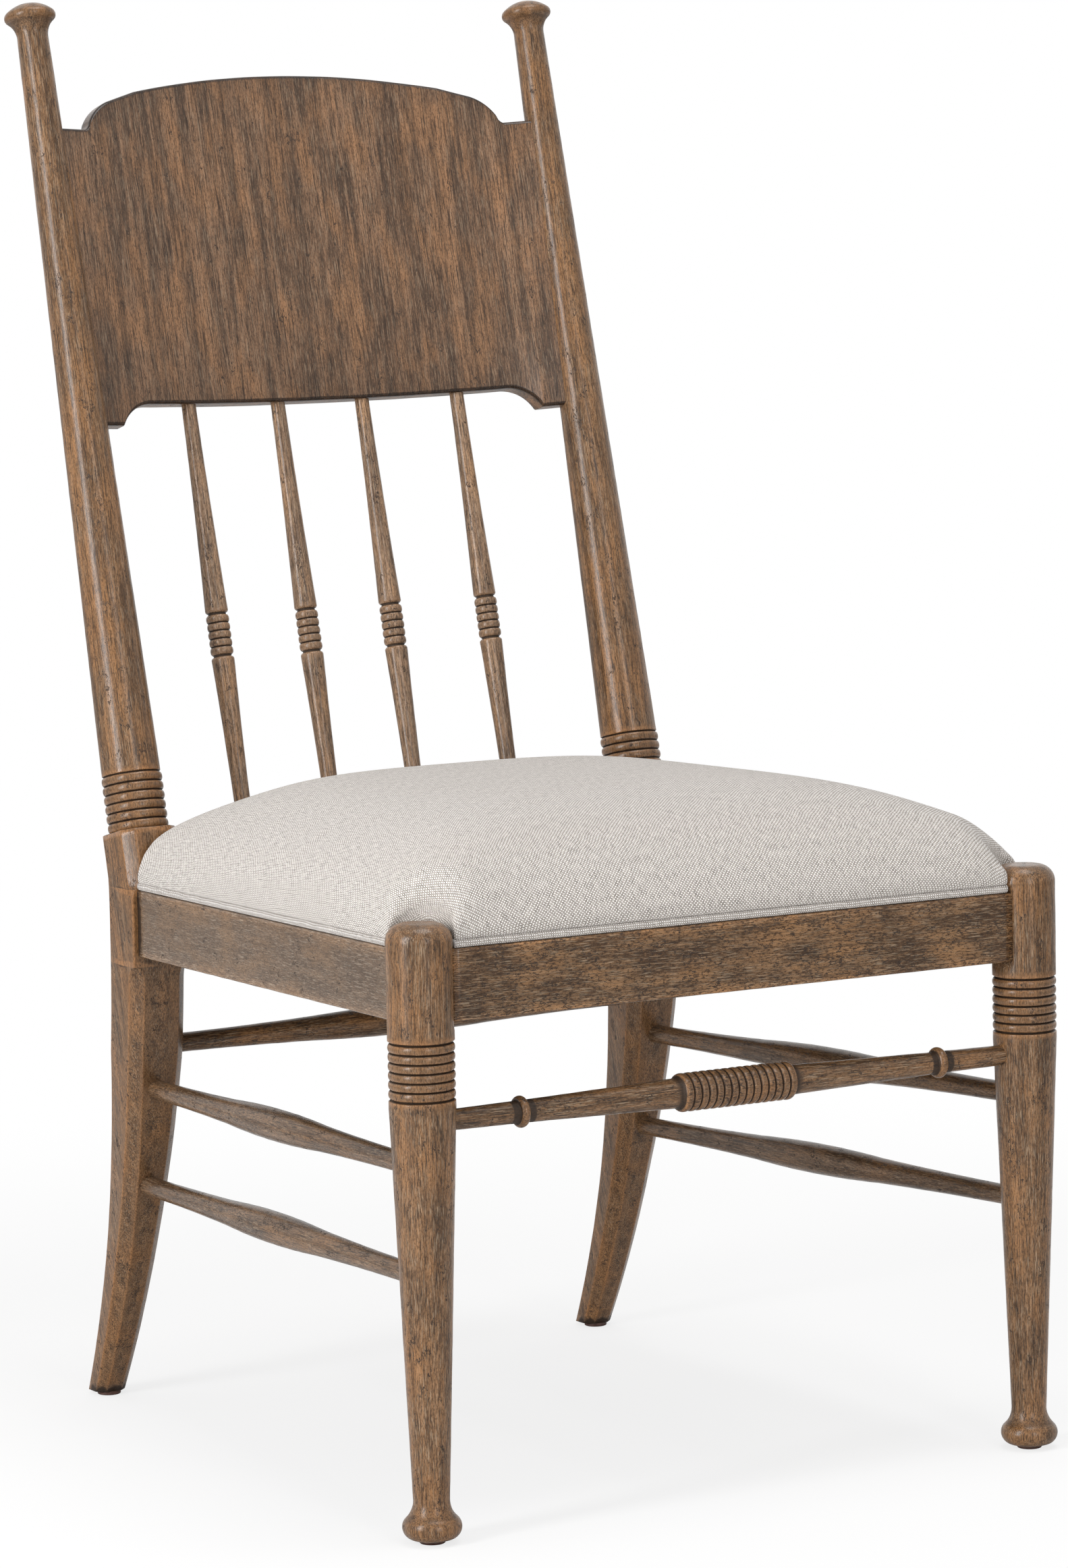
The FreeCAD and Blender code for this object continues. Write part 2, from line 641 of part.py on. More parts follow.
def dome_rise(radius, height):
    """Rise of the arc that makes a round cap of a radius and height, level at its middle."""
    ball = (radius * radius + height * height) / (2 * height)
    quarter = (radius * radius + height * height) / 4
    return ball - root(ball * ball - quarter)


def lean_box(name, spans, shift):
    """A box drawn in the leaning frame of the back, moved across by shift and down to the posts' own frame."""
    item = doc.addObject("Part::Box", name)
    lows = []
    for letter, span in zip(("Length", "Width", "Height"), spans):
        low, high = sorted((as_size(end) for end in span), key=lambda end: end.value)
        item.setExpression(letter, (high - low).text)
        lows.append(low)
    tilt = S["rake_angle"]
    spot = (lows[0] + shift, lows[1] * cosine(tilt) + lows[2] * sine(tilt),
            S["rake_z"] + lows[2] * cosine(tilt) - lows[1] * sine(tilt))
    item.Placement = Placement(Vector(*(part.value for part in spot)), LEAN)
    for letter, part in zip("xyz", spot):
        item.setExpression(f"Placement.Base.{letter}", part.text)
    return item


def panel_tenon_spans(side, gap):
    """Spans of a panel tenon in the leaning frame, from inside the panel to inside the post."""
    reach = S["panel_tenon_reach"]
    middle = mid_arc(reach) + S["panel_tenon_back"]
    half = S["panel_tenon_thickness"] / 2 + gap
    inner = reach - S["tenon_length"] - S["tenon_shoulder"]
    low = S["panel_bottom"] - S["panel_drop"] + S["tenon_shoulder"] - gap
    high = S["panel_shoulder"] - S["tenon_shoulder"] + gap
    return (side * inner, side * (reach + gap)), (middle - half, middle + half), (low, high)


def rear_tenon_spans(side, gap):
    """Spans of a rear rail tenon, from inside the rail to inside the post's block."""
    middle = S["post_setback"] + S["rear_rail_back"] + mid_arc(POST_INNER)
    half = S["tenon_thickness"] / 2 + gap
    inner = POST_INNER - S["tenon_shoulder"]
    return ((side * inner, side * (POST_INNER + S["tenon_length"] + gap)), (middle - half, middle + half),
            (seat_z(POST_FRONT) - S["rail_height"] + S["tenon_shoulder"] - gap,
             S["rear_rail_top_z"] - S["tenon_shoulder"] + gap))


def moved(spans, x, y):
    """Three spans with the first two shifted by x and y."""
    (x_low, x_high), (y_low, y_high), heights = spans
    return (x_low + x, x_high + x), (y_low + y, y_high + y), heights


def make_rear_post(label, side):
    """A rear post: swept leg, chamfered block, beads, turned and tapered post and finial, in one piece."""
    name = f"rear_post_{label}"
    gap = S["fit_gap"]
    leg = formed(name + "_leg", Part.makeLoft(rear_leg_sections(side), True, True))
    turning = turned(name + "_turned", post_outline())
    turning.Placement = Placement(Vector(0, 0, S["rake_z"].value), LEAN)
    turning.setExpression("Placement.Base.z", S["rake_z"].text)
    whole = fused(name + "_whole", [leg, turning])
    half = S["tenon_thickness"] / 2 + gap
    front = -S["post_depth"] / 2
    side_mid = side * (S["post_width"] / 2 - S["side_rail_inset"] - S["rail_thickness"] / 2)
    rail_top = seat_z(POST_FRONT)
    inset = S["tenon_shoulder"] - gap
    tools = [
        box(name + "_side_mortise", (
            (side_mid - half, side_mid + half), (front - half, front + S["tenon_length"] + gap),
            (rail_top - S["rail_height"] + inset, rail_top - inset))),
        box(name + "_rear_mortise", moved(rear_tenon_spans(side, gap), -side * S["post_axis_x"],
                                          -S["post_setback"])),
        lean_box(name + "_panel_mortise", panel_tenon_spans(side, gap), -side * S["post_axis_x"]),
        rod(name + "_nail_hole", (0, glide_y() - S["post_setback"], 0), UP, S["glide_nail_radius"] + gap,
            S["glide_height"] + S["glide_nail_length"] + gap),
    ]
    tools += sockets(name, side, True)
    finish(name, cut(name + "_cut", whole, tools), side * S["post_axis_x"], S["post_setback"])


def glide_y():
    """Rear glide's axis, a little forward of the middle of the raked foot."""
    return rear_leg_y(S["glide_height"]) - S["glide_lead"]


def make_glide(node, x, y):
    """A glide disc with its nail, under one foot."""
    radius, height = S["glide_radius"], S["glide_height"]
    nail, edge = S["glide_nail_radius"], height / 3
    outline = [
        (0, 0),
        (radius - edge, 0),
        (radius, edge, edge * QUARTER_RISE),
        (radius, height),
        (nail, height),
        (nail, height + S["glide_nail_length"] - nail),
        (0, height + S["glide_nail_length"]),
    ]
    finish(node, turned(node + "_turned", outline), x, y)


def make_stretcher(node):
    """A turned stretcher between two leg axes; the front one has beads and collars."""
    start, toward, length = stretcher_span(STRETCHERS[node])
    end, body = S["stretcher_radius"], S["stretcher_socket"]
    middle = as_size(length / 2)
    if node == "front_stretcher":
        group = S["ring_pitch"] * S["ring_count"] / 2
        collar = S["collar_width"] / 2
        near, far = S["collar_x"] - collar, S["collar_x"] + collar
        thin, thick = S["collar_body_radius"], S["ring_body_radius"]
        outline = [(0, 0), (end, 0), (end, body), (thin, middle - far),
                   (thin, middle - near, S["collar_radius"] - thin), (thick, middle - group - S["quirk"])]
        outline += beads(S["ring_radius"], S["ring_depth"], S["ring_pitch"], S["ring_count"], middle - group)
        outline += [(thick, middle + group + S["quirk"]), (thin, middle + near),
                    (thin, middle + far, S["collar_radius"] - thin),
                    (end, as_size(length) - body), (end, length), (0, length)]
    else:
        half, shoulder = S["swell_half"], S["swell_shoulder"]
        outline = [(0, 0), (end, 0), (end, body), (shoulder, middle - half, -S["swell_hollow"]),
                   (shoulder, middle + half, S["swell_radius"] - shoulder),
                   (end, as_size(length) - body, -S["swell_hollow"]), (end, length), (0, length)]
    finish(node, turned(node + "_turned", outline), start.x, start.y, start.z, Rotation(UP, toward))


def make_front_rail():
    """The front seat rail with rounded front arrises and a tenon at each end."""
    node, arris = "front_seat_rail", S["rail_arris"]
    reach = S["leg_axis_x"] - S["flat_offset"]
    front, top = -S["rail_setback"], S["rail_top_z"]
    outline = [
        (front + arris, RAIL_LOW, arris * QUARTER_RISE * 0),
        (RAIL_BACK, RAIL_LOW), (RAIL_BACK, top), (front + arris, top),
        (front, top - arris, arris * QUARTER_RISE), (front, RAIL_LOW + arris),
        (front + arris, RAIL_LOW, arris * QUARTER_RISE),
    ][1:]
    bar = padded(node + "_bar", "YZ_Plane", outline, reach * 2, -reach)
    middle = S["rail_thickness"] / 2 - S["rail_setback"]
    half, inset = S["tenon_thickness"] / 2, S["tenon_shoulder"]
    end = reach + S["tenon_length"]
    tenon = box(node + "_tenons", ((-end, end), (middle - half, middle + half), (RAIL_LOW + inset, top - inset)))
    whole = fused(node + "_whole", [bar, tenon])
    finish(node, cut(node + "_cut", whole, screw_tools(node)))


def make_side_rail(label, side):
    """A side seat rail, which toes in and falls towards the back, with a tenon at each end."""
    node = f"side_seat_rail_{label}"
    thick = S["rail_thickness"]
    wires, tenons = [], []
    for end, (y, way) in enumerate(((S["flat_offset"], -1), (POST_FRONT, 1))):
        outer, top = rail_out(y), seat_z(y)
        low = top - S["rail_height"]
        corners = [Vector(side * (outer - thick * across).value, y.value, (low + S["rail_height"] * up).value)
                   for across, up in ((0, 0), (1, 0), (1, 1), (0, 1), (0, 0))]
        wires.append(Part.makePolygon(corners))
        middle = side * (outer - thick / 2)
        half, inset = S["tenon_thickness"] / 2, S["tenon_shoulder"]
        tenons.append(box(f"{node}_tenon_{end}", (
            (middle - half, middle + half), (y - way * inset, y + way * S["tenon_length"]),
            (low + inset, top - inset))))
    bar = formed(node + "_bar", Part.makeLoft(wires, True, True))
    whole = fused(node + "_whole", [bar] + tenons)
    finish(node, cut(node + "_cut", whole, screw_tools(node)))


def bowed_plan(half, front, back):
    """Plan outline of a bowed bar out to half each side, from its front and back faces there."""
    bow = mid_arc(0) - mid_arc(half)
    return [(-half, front), (half, front, -bow), (half, back), (-half, back, bow)]


def make_rear_rail():
    """The bowed rear seat rail, with tenons into the posts and a socket for each spindle."""
    node = "rear_seat_rail"
    front = rear_rail_front(POST_INNER)
    low = seat_z(POST_FRONT) - S["rail_height"]
    bar = padded(node + "_bar", "XY_Plane", bowed_plan(POST_INNER, front, front + S["rear_rail_thickness"]),
                 S["rear_rail_top_z"] - low, low)
    tenons = [box(f"{node}_tenon_{label}", rear_tenon_spans(side, as_size(0))) for label, side in SIDES]
    tools = screw_tools(node)
    for number, x in enumerate(SPINDLES, start=1):
        behind = mid_arc(x)
        along = spindle_foot(x) - S["fit_gap"]
        tilt = S["rake_angle"]
        foot = (x, S["post_setback"] + along * sine(tilt) + behind * cosine(tilt),
                S["rake_z"] + along * cosine(tilt) - behind * sine(tilt))
        tools.append(rod(f"{node}_socket_{number}", foot, LEAN.multVec(UP),
                         S["spindle_foot_radius"] + S["fit_gap"], S["spindle_socket"] * 2))
    whole = fused(node + "_whole", [bar] + tenons)
    finish(node, cut(node + "_cut", whole, tools))


SPINDLES = (-S["spindle_outer_x"], -S["spindle_inner_x"], S["spindle_inner_x"], S["spindle_outer_x"])


def spindle_foot(x):
    """Distance along the lean of a spindle's foot, in its socket in the rear rail."""
    height = S["rear_rail_top_z"] - S["rake_z"] + mid_arc(x) * sine(S["rake_angle"])
    return height / cosine(S["rake_angle"]) - S["spindle_socket"]


def make_spindle(number, x):
    """A turned back spindle with a group of beads, from the rear rail to the panel."""
    node = f"back_spindle_{number}"
    foot, top = spindle_foot(x), S["panel_bottom"] + S["spindle_socket"]
    depth, swell, quirk = S["spindle_socket"], S["spindle_swell_radius"], S["quirk"]
    beads_at = S["spindle_bead_at"]
    beads_end = beads_at + S["spindle_bead_pitch"] * S["spindle_bead_count"]
    corner = S["spindle_corner"]
    outline = [
        (0, foot),
        (S["spindle_foot_radius"], foot),
        (S["spindle_foot_radius"], foot + depth),
        (swell, beads_at - corner - quirk, -S["spindle_hollow"]),
        (swell - corner, beads_at - quirk, corner * QUARTER_RISE),
    ]
    outline += beads(swell, S["spindle_bead_depth"], S["spindle_bead_pitch"], S["spindle_bead_count"], beads_at)
    outline += [
        (swell - corner, beads_end + quirk),
        (swell, beads_end + quirk + corner, corner * QUARTER_RISE),
        (S["spindle_top_radius"], S["panel_bottom"], -S["spindle_hollow"]),
        (S["spindle_top_radius"], top),
        (0, top),
    ]
    leaning(node, turned(node + "_turned", outline), x, mid_arc(x))


def panel_outline():
    """Front outline of the back panel: ears at its lower corners, coves beside a long crest curve."""
    end = S["post_axis_x"] - S["post_neck_radius"] + S["quirk"]
    low = S["panel_bottom"] - S["panel_drop"]
    cove_x, cove_at = S["crest_cove_x"], S["crest_cove_at"]
    corner_x, corner_at = S["crest_corner_x"], S["crest_corner_at"]
    shoulder_x = S["panel_ear_x"]
    long_at = S["panel_crest"] - S["crest_rise"]
    ear_curve = S["panel_ear_x"] - S["panel_cove"]
    half = [
        (ear_curve, S["panel_bottom"]),
        (S["panel_ear_x"], low, -S["panel_cove_rise"]),
        (end, low),
        (end, S["panel_shoulder"]),
        (shoulder_x, S["panel_shoulder"]),
        (cove_x, cove_at, -S["crest_cove_rise"]),
        (corner_x, corner_at, S["crest_corner_rise"]),
        (S["crest_half"], long_at),
    ]
    mirror = []
    for index in range(len(half) - 1, -1, -1):
        x, at = half[index][:2]
        after = half[index + 1] if index + 1 < len(half) else (0, 0)
        mirror.append((-x, at) + tuple(after[2:]))
    mirror[0] = (-S["crest_half"], long_at, S["crest_rise"])
    return half + mirror


def make_panel():
    """The bowed back panel, scribed to the posts and tenoned into them, with a socket for each spindle."""
    node = "back_panel"
    gap, thick = S["fit_gap"], S["panel_thickness"]
    end = S["post_axis_x"] - S["post_neck_radius"] + S["quirk"]
    low = S["panel_bottom"] - S["panel_drop"]
    middle = mid_arc(end)
    slab = padded(node + "_slab", "XY_Plane", bowed_plan(end, middle - thick / 2, middle + thick / 2),
                  S["panel_crest"] - low + thick, low - thick / 2)
    board = padded(node + "_board", "XZ_Plane", panel_outline(), S["back_bow"] * 4, -S["back_bow"] * 2)
    base_at = S["block_top"] + S["post_bead_pitch"] * S["post_bead_count"] + S["quirk"]
    posts = []
    for label, side in SIDES:
        cone = doc.addObject("Part::Cone", f"{node}_scribe_{label}")
        cone.Placement = Placement(Vector(side * S["post_axis_x"].value, 0, base_at.value), Rotation())
        cone.setExpression("Placement.Base.x", (side * S["post_axis_x"]).text)
        cone.setExpression("Placement.Base.z", base_at.text)
        cone.setExpression("Radius1", (S["post_base_radius"] + gap).text)
        cone.setExpression("Radius2", (S["post_neck_radius"] + gap).text)
        cone.setExpression("Height", (S["neck_at"] - base_at).text)
        posts.append(cone)
    scribed = cut(node + "_scribed", common(node + "_form", slab, board), posts)
    tenons = [box(f"{node}_tenon_{label}", panel_tenon_spans(side, as_size(0))) for label, side in SIDES]
    whole = fused(node + "_whole", [scribed] + tenons)
    tools = [rod(f"{node}_socket_{number}", (x, mid_arc(x), S["panel_bottom"] - S["spindle_socket"]), UP,
                 S["spindle_top_radius"] + gap, S["spindle_socket"] * 2 + gap)
             for number, x in enumerate(SPINDLES, start=1)]
    leaning(node, cut(node + "_cut", whole, tools))


def block_corners(side, rear):
    """Plan corners of a corner block, bowed where it follows the rear rail."""
    gap = S["fit_gap"]
    if rear:
        heel, toe = POST_INNER - S["rear_heel_in"], POST_INNER - S["rear_toe_in"]
        heel_y, toe_y = POST_FRONT - S["rear_heel_forward"], POST_FRONT - S["rear_toe_forward"]
        back = [(heel, rear_rail_front(heel) - gap), (toe, rear_rail_front(toe) - gap)]
        middle = (heel + toe) / 2
        sag = rear_rail_front(middle) - (rear_rail_front(heel) + rear_rail_front(toe)) / 2
        edge = (side * toe, back[1][1], sag * -side)
        points = [(side * heel, back[0][1]), edge]
    else:
        heel, toe = S["leg_axis_x"] - S["block_heel_in"], S["leg_axis_x"] - S["block_toe_in"]
        heel_y, toe_y = S["block_heel_back"], S["block_toe_back"]
        points = [(side * heel, RAIL_BACK + gap), (side * toe, RAIL_BACK + gap)]
    thick = S["rail_thickness"] + gap
    points += [(side * (rail_out(toe_y) - thick), toe_y), (side * (rail_out(heel_y) - thick), heel_y)]
    return points


def block_heights(rear):
    """Bottom and top of a corner block, which stays just below the seat board."""
    reach = S["post_setback"] if rear else S["block_toe_back"]
    top = seat_z(reach) - S["corner_block_below"]
    return top - S["corner_block_height"], top


def make_corner_block(label, side, rear):
    """A corner block screwed to its two rails, with a hole for its seat screw."""
    node = f"corner_block_{'rear' if rear else 'front'}_{label}"
    low, _ = block_heights(rear)
    body = padded(node + "_block", "XY_Plane", block_corners(side, rear), S["corner_block_height"], low)
    finish(node, cut(node + "_cut", body, screw_tools(node)))


def screw_table():
    """Every screw: head seat, direction, length, and the two pieces that it holds."""
    screws = {}
    for label, side in SIDES:
        for rear in (False, True):
            place = "rear" if rear else "front"
            block = f"corner_block_{place}_{label}"
            low, top = block_heights(rear)
            level = (low + top) / 2
            long_x = POST_INNER - S["rear_screw_in"] if rear else S["leg_axis_x"] - S["front_screw_in"]
            long_y = rear_rail_front(long_x) if rear else RAIL_BACK
            way = 1 if rear else -1
            start = long_y - way * S["block_screw_grip"]
            screws[f"{place}_{label}_a"] = ((side * long_x, start, level), Vector(0, way, 0),
                                            S["block_screw_length"], (block, f"{place}_seat_rail"))
            side_y = POST_FRONT - S["side_screw_forward"] if rear else S["side_screw_back"]
            side_x = rail_out(side_y) - S["rail_thickness"] - S["block_screw_grip"]
            screws[f"{place}_{label}_b"] = ((side * side_x, side_y, level), Vector(side, 0, 0),
                                            S["block_screw_length"], (block, f"side_seat_rail_{label}"))
            seat_x, seat_y = S["leg_axis_x"] - S["front_seat_screw_in"], S["front_seat_screw_back"]
            if rear:
                seat_x, seat_y = POST_INNER - S["rear_seat_screw_in"], POST_FRONT - S["rear_seat_screw_forward"]
            screws[f"{place}_{label}_seat"] = ((side * seat_x, seat_y, low), UP,
                                               S["seat_screw_length"], (block, "seat_board"))
    return screws


SCREWS = screw_table()


def screw_tools(node):
    """Tools for the holes that a piece's screws go through, heads included."""
    gap, tools = S["fit_gap"], []
    for name, (start, way, length, held) in SCREWS.items():
        if node not in held and not (node == "dust_cover" and name.endswith("seat")):
            continue
        tools.append(rod(f"{node}_{name}_hole", start, way, S["screw_radius"] + gap, length + gap))
        if node == held[0]:
            tools.append(rod(f"{node}_{name}_bore", start, -way, S["screw_head_radius"] + gap,
                             S["corner_block_height"] * 2))
    return tools


def make_screws(node, ending):
    """One group of like screws, each a pan head on a shank with a point."""
    group = []
    for name, (start, way, length, _) in SCREWS.items():
        if name.endswith("seat") != ending:
            continue
        spot = Vector(*(as_size(part).value for part in start))
        point = S["screw_radius"] * 2
        shank = rod(f"{node}_{name}_shank", spot, way, S["screw_radius"], length - point)
        head = rod(f"{node}_{name}_head", spot, -way, S["screw_head_radius"], S["screw_head_height"])
        tip = doc.addObject("Part::Cone", f"{node}_{name}_tip")
        tip.Placement = Placement(spot + way * (length - point).value, Rotation(UP, way))
        tip.setExpression("Radius1", S["screw_radius"].text)
        tip.setExpression("Radius2", (S["screw_radius"] / 4).text)
        tip.setExpression("Height", point.text)
        group.append(fused(f"{node}_{name}", [shank, head, tip]))
    compound = doc.addObject("Part::Compound", node + "_group")
    compound.Links = group
    finish(node, compound)


def seat_plan(inset, inner):
    """Plan outline of a flat seat piece, inset from the rails' outer faces and from the rear rail."""
    front = inset - S["rail_setback"]
    back = rear_rail_front(POST_INNER) - inner
    wide, narrow = rail_out(front) - inset, rail_out(back) - inset
    bow = mid_arc(0) - mid_arc(narrow)
    back = rear_rail_front(narrow) - inner
    return [(-wide, front), (wide, front), (narrow, back), (-narrow, back, bow)]


def notch_tools(name, clear):
    """Tools that notch a seat piece round the front legs and the rear posts' blocks."""
    tools = []
    tall = S["crown_height"] * 2
    for label, side in SIDES:
        tools.append(rod(f"{name}_leg_notch_{label}", (side * S["leg_axis_x"], 0, RAIL_LOW), UP,
                         S["leg_radius"] + clear, tall))
        tools.append(box(f"{name}_post_notch_{label}", (
            (side * (POST_INNER - clear), side * (POST_INNER + S["post_width"] * 2)),
            (POST_FRONT - clear, POST_FRONT + S["post_depth"] * 2), (RAIL_LOW, RAIL_LOW + tall))))
    return tools


def make_seat_board():
    """The plywood seat board on the tops of the rails, with its screw holes."""
    node = "seat_board"
    board = tilt_with_seat(nested(node, padded(node + "_ply", "XY_Plane", seat_plan(
        S["board_inset"], S["soft_gap"] + S["cover_thickness"]), S["board_thickness"])))
    clear = S["soft_gap"] + S["cover_thickness"]
    finish(node, cut(node + "_cut", board, notch_tools(node, clear) + screw_tools(node)))


def nested(name, item):
    """A piece wrapped so that it can be placed again without moving what it is drawn on."""
    wrap = doc.addObject("Part::Compound", name + "_wrap")
    wrap.Links = [item]
    return wrap


def make_dust_cover():
    """The thin sheet under the seat board, inside the rails."""
    node = "dust_cover"
    inset = S["rail_thickness"] + S["dust_inset"]
    sheet_body = padded(node + "_sheet", "XY_Plane", seat_plan(inset, S["dust_inset"]),
                        S["dust_thickness"], -S["dust_thickness"])
    tilted = tilt_with_seat(nested(node, sheet_body))
    finish(node, cut(node + "_cut", tilted, notch_tools(node, S["dust_inset"]) + screw_tools(node)))


def crown_point(u, v, inset):
    """Plan point of the cushion for u and v from -1 to 1 across and along it."""
    front = (inset - S["rail_setback"]).value
    x, y = 0.0, front
    for _ in range(PLAN_PASSES):
        back = (rear_rail_front(x) - S["soft_gap"] - inset).value
        y = front + (v + 1) / 2 * (back - front)
        x = u * (rail_out(y) - inset).value
    return x, y


def crown_wire(level, inset, z):
    """Closed outline of the cushion at a share of its crown's height, in lines and arcs."""
    power = S["crown_power"].value
    diagonal = (1 - level) ** (1 / power) if level > 0 else 1 - CORNER_SHARE / 4
    near = diagonal * SIDE_SHARE if level > 0 else 1 - CORNER_SHARE
    reach = (1 - level ** 2) ** (1 / power)
    side = (1 - level ** 2 / (1 - near ** power)) ** (1 / power)
    quarter = [(side, -near), (reach, 0), (side, near), (diagonal, diagonal),
               (near, side), (0, reach), (-near, side), (-diagonal, diagonal)]
    marks = quarter + [(-u, -v) for u, v in quarter]
    points = [Vector(*crown_point(u, v, inset), z) for u, v in marks]
    points.append(points[0])
    edges = []
    for first, middle, last in zip(points[0::2], points[1::2], points[2::2]):
        sag = (middle - first).cross(last - first).Length / (last - first).Length
        straight = sag < FLAT_SAG
        edges.append(Part.LineSegment(first, last).toShape() if straight else
                     Part.Arc(first, middle, last).toShape())
    return Part.Wire(edges)


def crowned(inset, start, crown):
    """A crowned cushion above start: upright sides, then sections that draw in over the crown."""
    side = S["side_height"].value
    lower = Part.makeLoft([crown_wire(0, inset, start.value), crown_wire(0, inset, side)], True, True)
    wires = []
    for angle in CROWN_ANGLES:
        level = math.sin(math.radians(angle))
        wires.append(crown_wire(level, inset, side + crown.value * level))
    upper = Part.makeLoft(wires, True, False)
    return lower.fuse(upper).removeSplitter()


def make_cushion():
    """The foam over the seat board, and the fabric cover over the foam."""
    start = S["welt_size"] + S["soft_gap"]
    wrap = S["cover_thickness"]
    foam = tilt_with_seat(formed("seat_foam_form", crowned(wrap, start, S["crown_height"] - wrap)))
    outer = tilt_with_seat(formed("seat_cover_form", crowned(as_size(0), start, S["crown_height"])))
    filling = cut("seat_foam_filling", foam, notch_tools("seat_foam", S["soft_gap"] + wrap))
    skin = cut("seat_cover_skin", outer, notch_tools("seat_cover", S["soft_gap"]))
    finish("seat_cover", cut("seat_cover_cut", skin, [filling]))
    ply = tilt_with_seat(nested("seat_foam_base", padded("seat_foam_ply", "XY_Plane", seat_plan(
        S["board_inset"], S["soft_gap"] + wrap), S["board_thickness"])))
    finish("seat_foam", cut("seat_foam_cut", filling, [ply]))


def make_welts():
    """Welt cords on the rails' tops, flush with their outer faces."""
    radius, gap = S["welt_size"] / 2, S["soft_gap"]
    y = radius - S["rail_setback"]
    front = rod("seat_welt_front_cord", (-S["leg_axis_x"], y, S["rail_top_z"] + radius), Vector(1, 0, 0),
                radius, S["leg_axis_x"] * 2)
    finish("seat_welt_front", cut("seat_welt_front_cut", front, notch_tools("seat_welt_front", gap)))
    for label, side in SIDES:
        ends = [Vector(side * (rail_out(y) - radius).value, as_size(y).value,
                       (seat_z(y) + radius + S["fit_gap"]).value) for y in (as_size(0), POST_FRONT)]
        run = ends[1] - ends[0]
        node = f"seat_welt_{label}"
        cord = rod(node + "_cord", ends[0], run, radius, run.Length)
        finish(node, cut(node + "_cut", cord, notch_tools(node, gap)))


def recompute_and_test():
    """Recompute the document and stop at any piece that failed."""
    doc.recompute()
    for item in doc.Objects:
        if {"Invalid", "Error"} & set(item.State):
            raise RuntimeError(f"{item.Label} did not recompute: {item.State}")
    for item in pieces:
        if item.Shape.isNull() or not item.Shape.isValid():
            raise RuntimeError(f"{item.Label} has no valid shape")


def main():
    """Build every piece and write it to its own file."""
    for label, side in SIDES:
        make_front_leg(label, side)
        make_rear_post(label, side)
        make_side_rail(label, side)
        make_corner_block(label, side, False)
        make_corner_block(label, side, True)
        make_glide(f"glide_front_{label}", side * S["leg_axis_x"], 0)
        make_glide(f"glide_rear_{label}", side * S["post_axis_x"], glide_y())
    make_front_rail()
    make_rear_rail()
    make_panel()
    for number, x in enumerate(SPINDLES, start=1):
        make_spindle(number, x)
    for node in STRETCHERS:
        make_stretcher(node)
    make_screws("corner_block_screws", False)
    make_screws("seat_screws", True)
    make_seat_board()
    make_dust_cover()
    make_cushion()
    make_welts()
    recompute_and_test()
    os.makedirs("parts", exist_ok=True)
    for item in pieces:
        item.Shape.exportStep(f"parts/{item.Label}.step")
        print(item.Label, round(item.Shape.Volume), "mm3,", len(item.Shape.Solids), "solids")


main()
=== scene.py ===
"""Side chair: turned legs, raked posts, a bowed back panel over four spindles, and an upholstered seat.

Sizes are millimetres: x from the middle of the chair, y back from the front legs' axis, z up from the floor.
The back is also measured in a leaning frame: s along the lean from the height of the rake, n square to it.
Meshes are made in metres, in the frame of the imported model.
"""
from __future__ import annotations

import logging
import math
from dataclasses import dataclass, field
from enum import Enum

import bmesh
import bpy
import numpy as np
from mathutils import Matrix, Vector, noise


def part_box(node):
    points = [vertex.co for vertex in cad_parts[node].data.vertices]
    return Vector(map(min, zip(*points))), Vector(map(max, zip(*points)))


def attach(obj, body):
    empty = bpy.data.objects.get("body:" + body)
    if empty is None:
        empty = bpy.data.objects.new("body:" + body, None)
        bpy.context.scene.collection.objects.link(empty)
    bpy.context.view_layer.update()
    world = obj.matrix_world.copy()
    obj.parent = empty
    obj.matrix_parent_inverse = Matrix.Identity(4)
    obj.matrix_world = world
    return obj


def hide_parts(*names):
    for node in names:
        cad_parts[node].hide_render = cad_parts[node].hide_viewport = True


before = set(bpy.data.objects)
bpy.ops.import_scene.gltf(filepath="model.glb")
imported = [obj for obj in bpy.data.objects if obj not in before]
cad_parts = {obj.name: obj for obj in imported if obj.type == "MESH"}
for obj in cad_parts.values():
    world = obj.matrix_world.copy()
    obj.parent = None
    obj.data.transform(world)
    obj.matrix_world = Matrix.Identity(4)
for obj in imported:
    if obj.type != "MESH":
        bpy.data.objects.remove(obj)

LOG = logging.getLogger("side_chair")
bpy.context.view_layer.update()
METRES = 0.001
FRONT_Y = sum(corner[1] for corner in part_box("glide_front_left")) / 2
SIDES = (("left", -1), ("right", 1))
QUIRK = 1.5
ALMOST_ZERO = 1e-6
# Without a seed, noise_vector starts from the clock and the wear would differ at each run.
WEAR_SEED = 4
Colour = tuple[float, float, float]
Socket = bpy.types.NodeSocket
Material = bpy.types.Material
Piece = bpy.types.Object


# The sizes that several pieces share


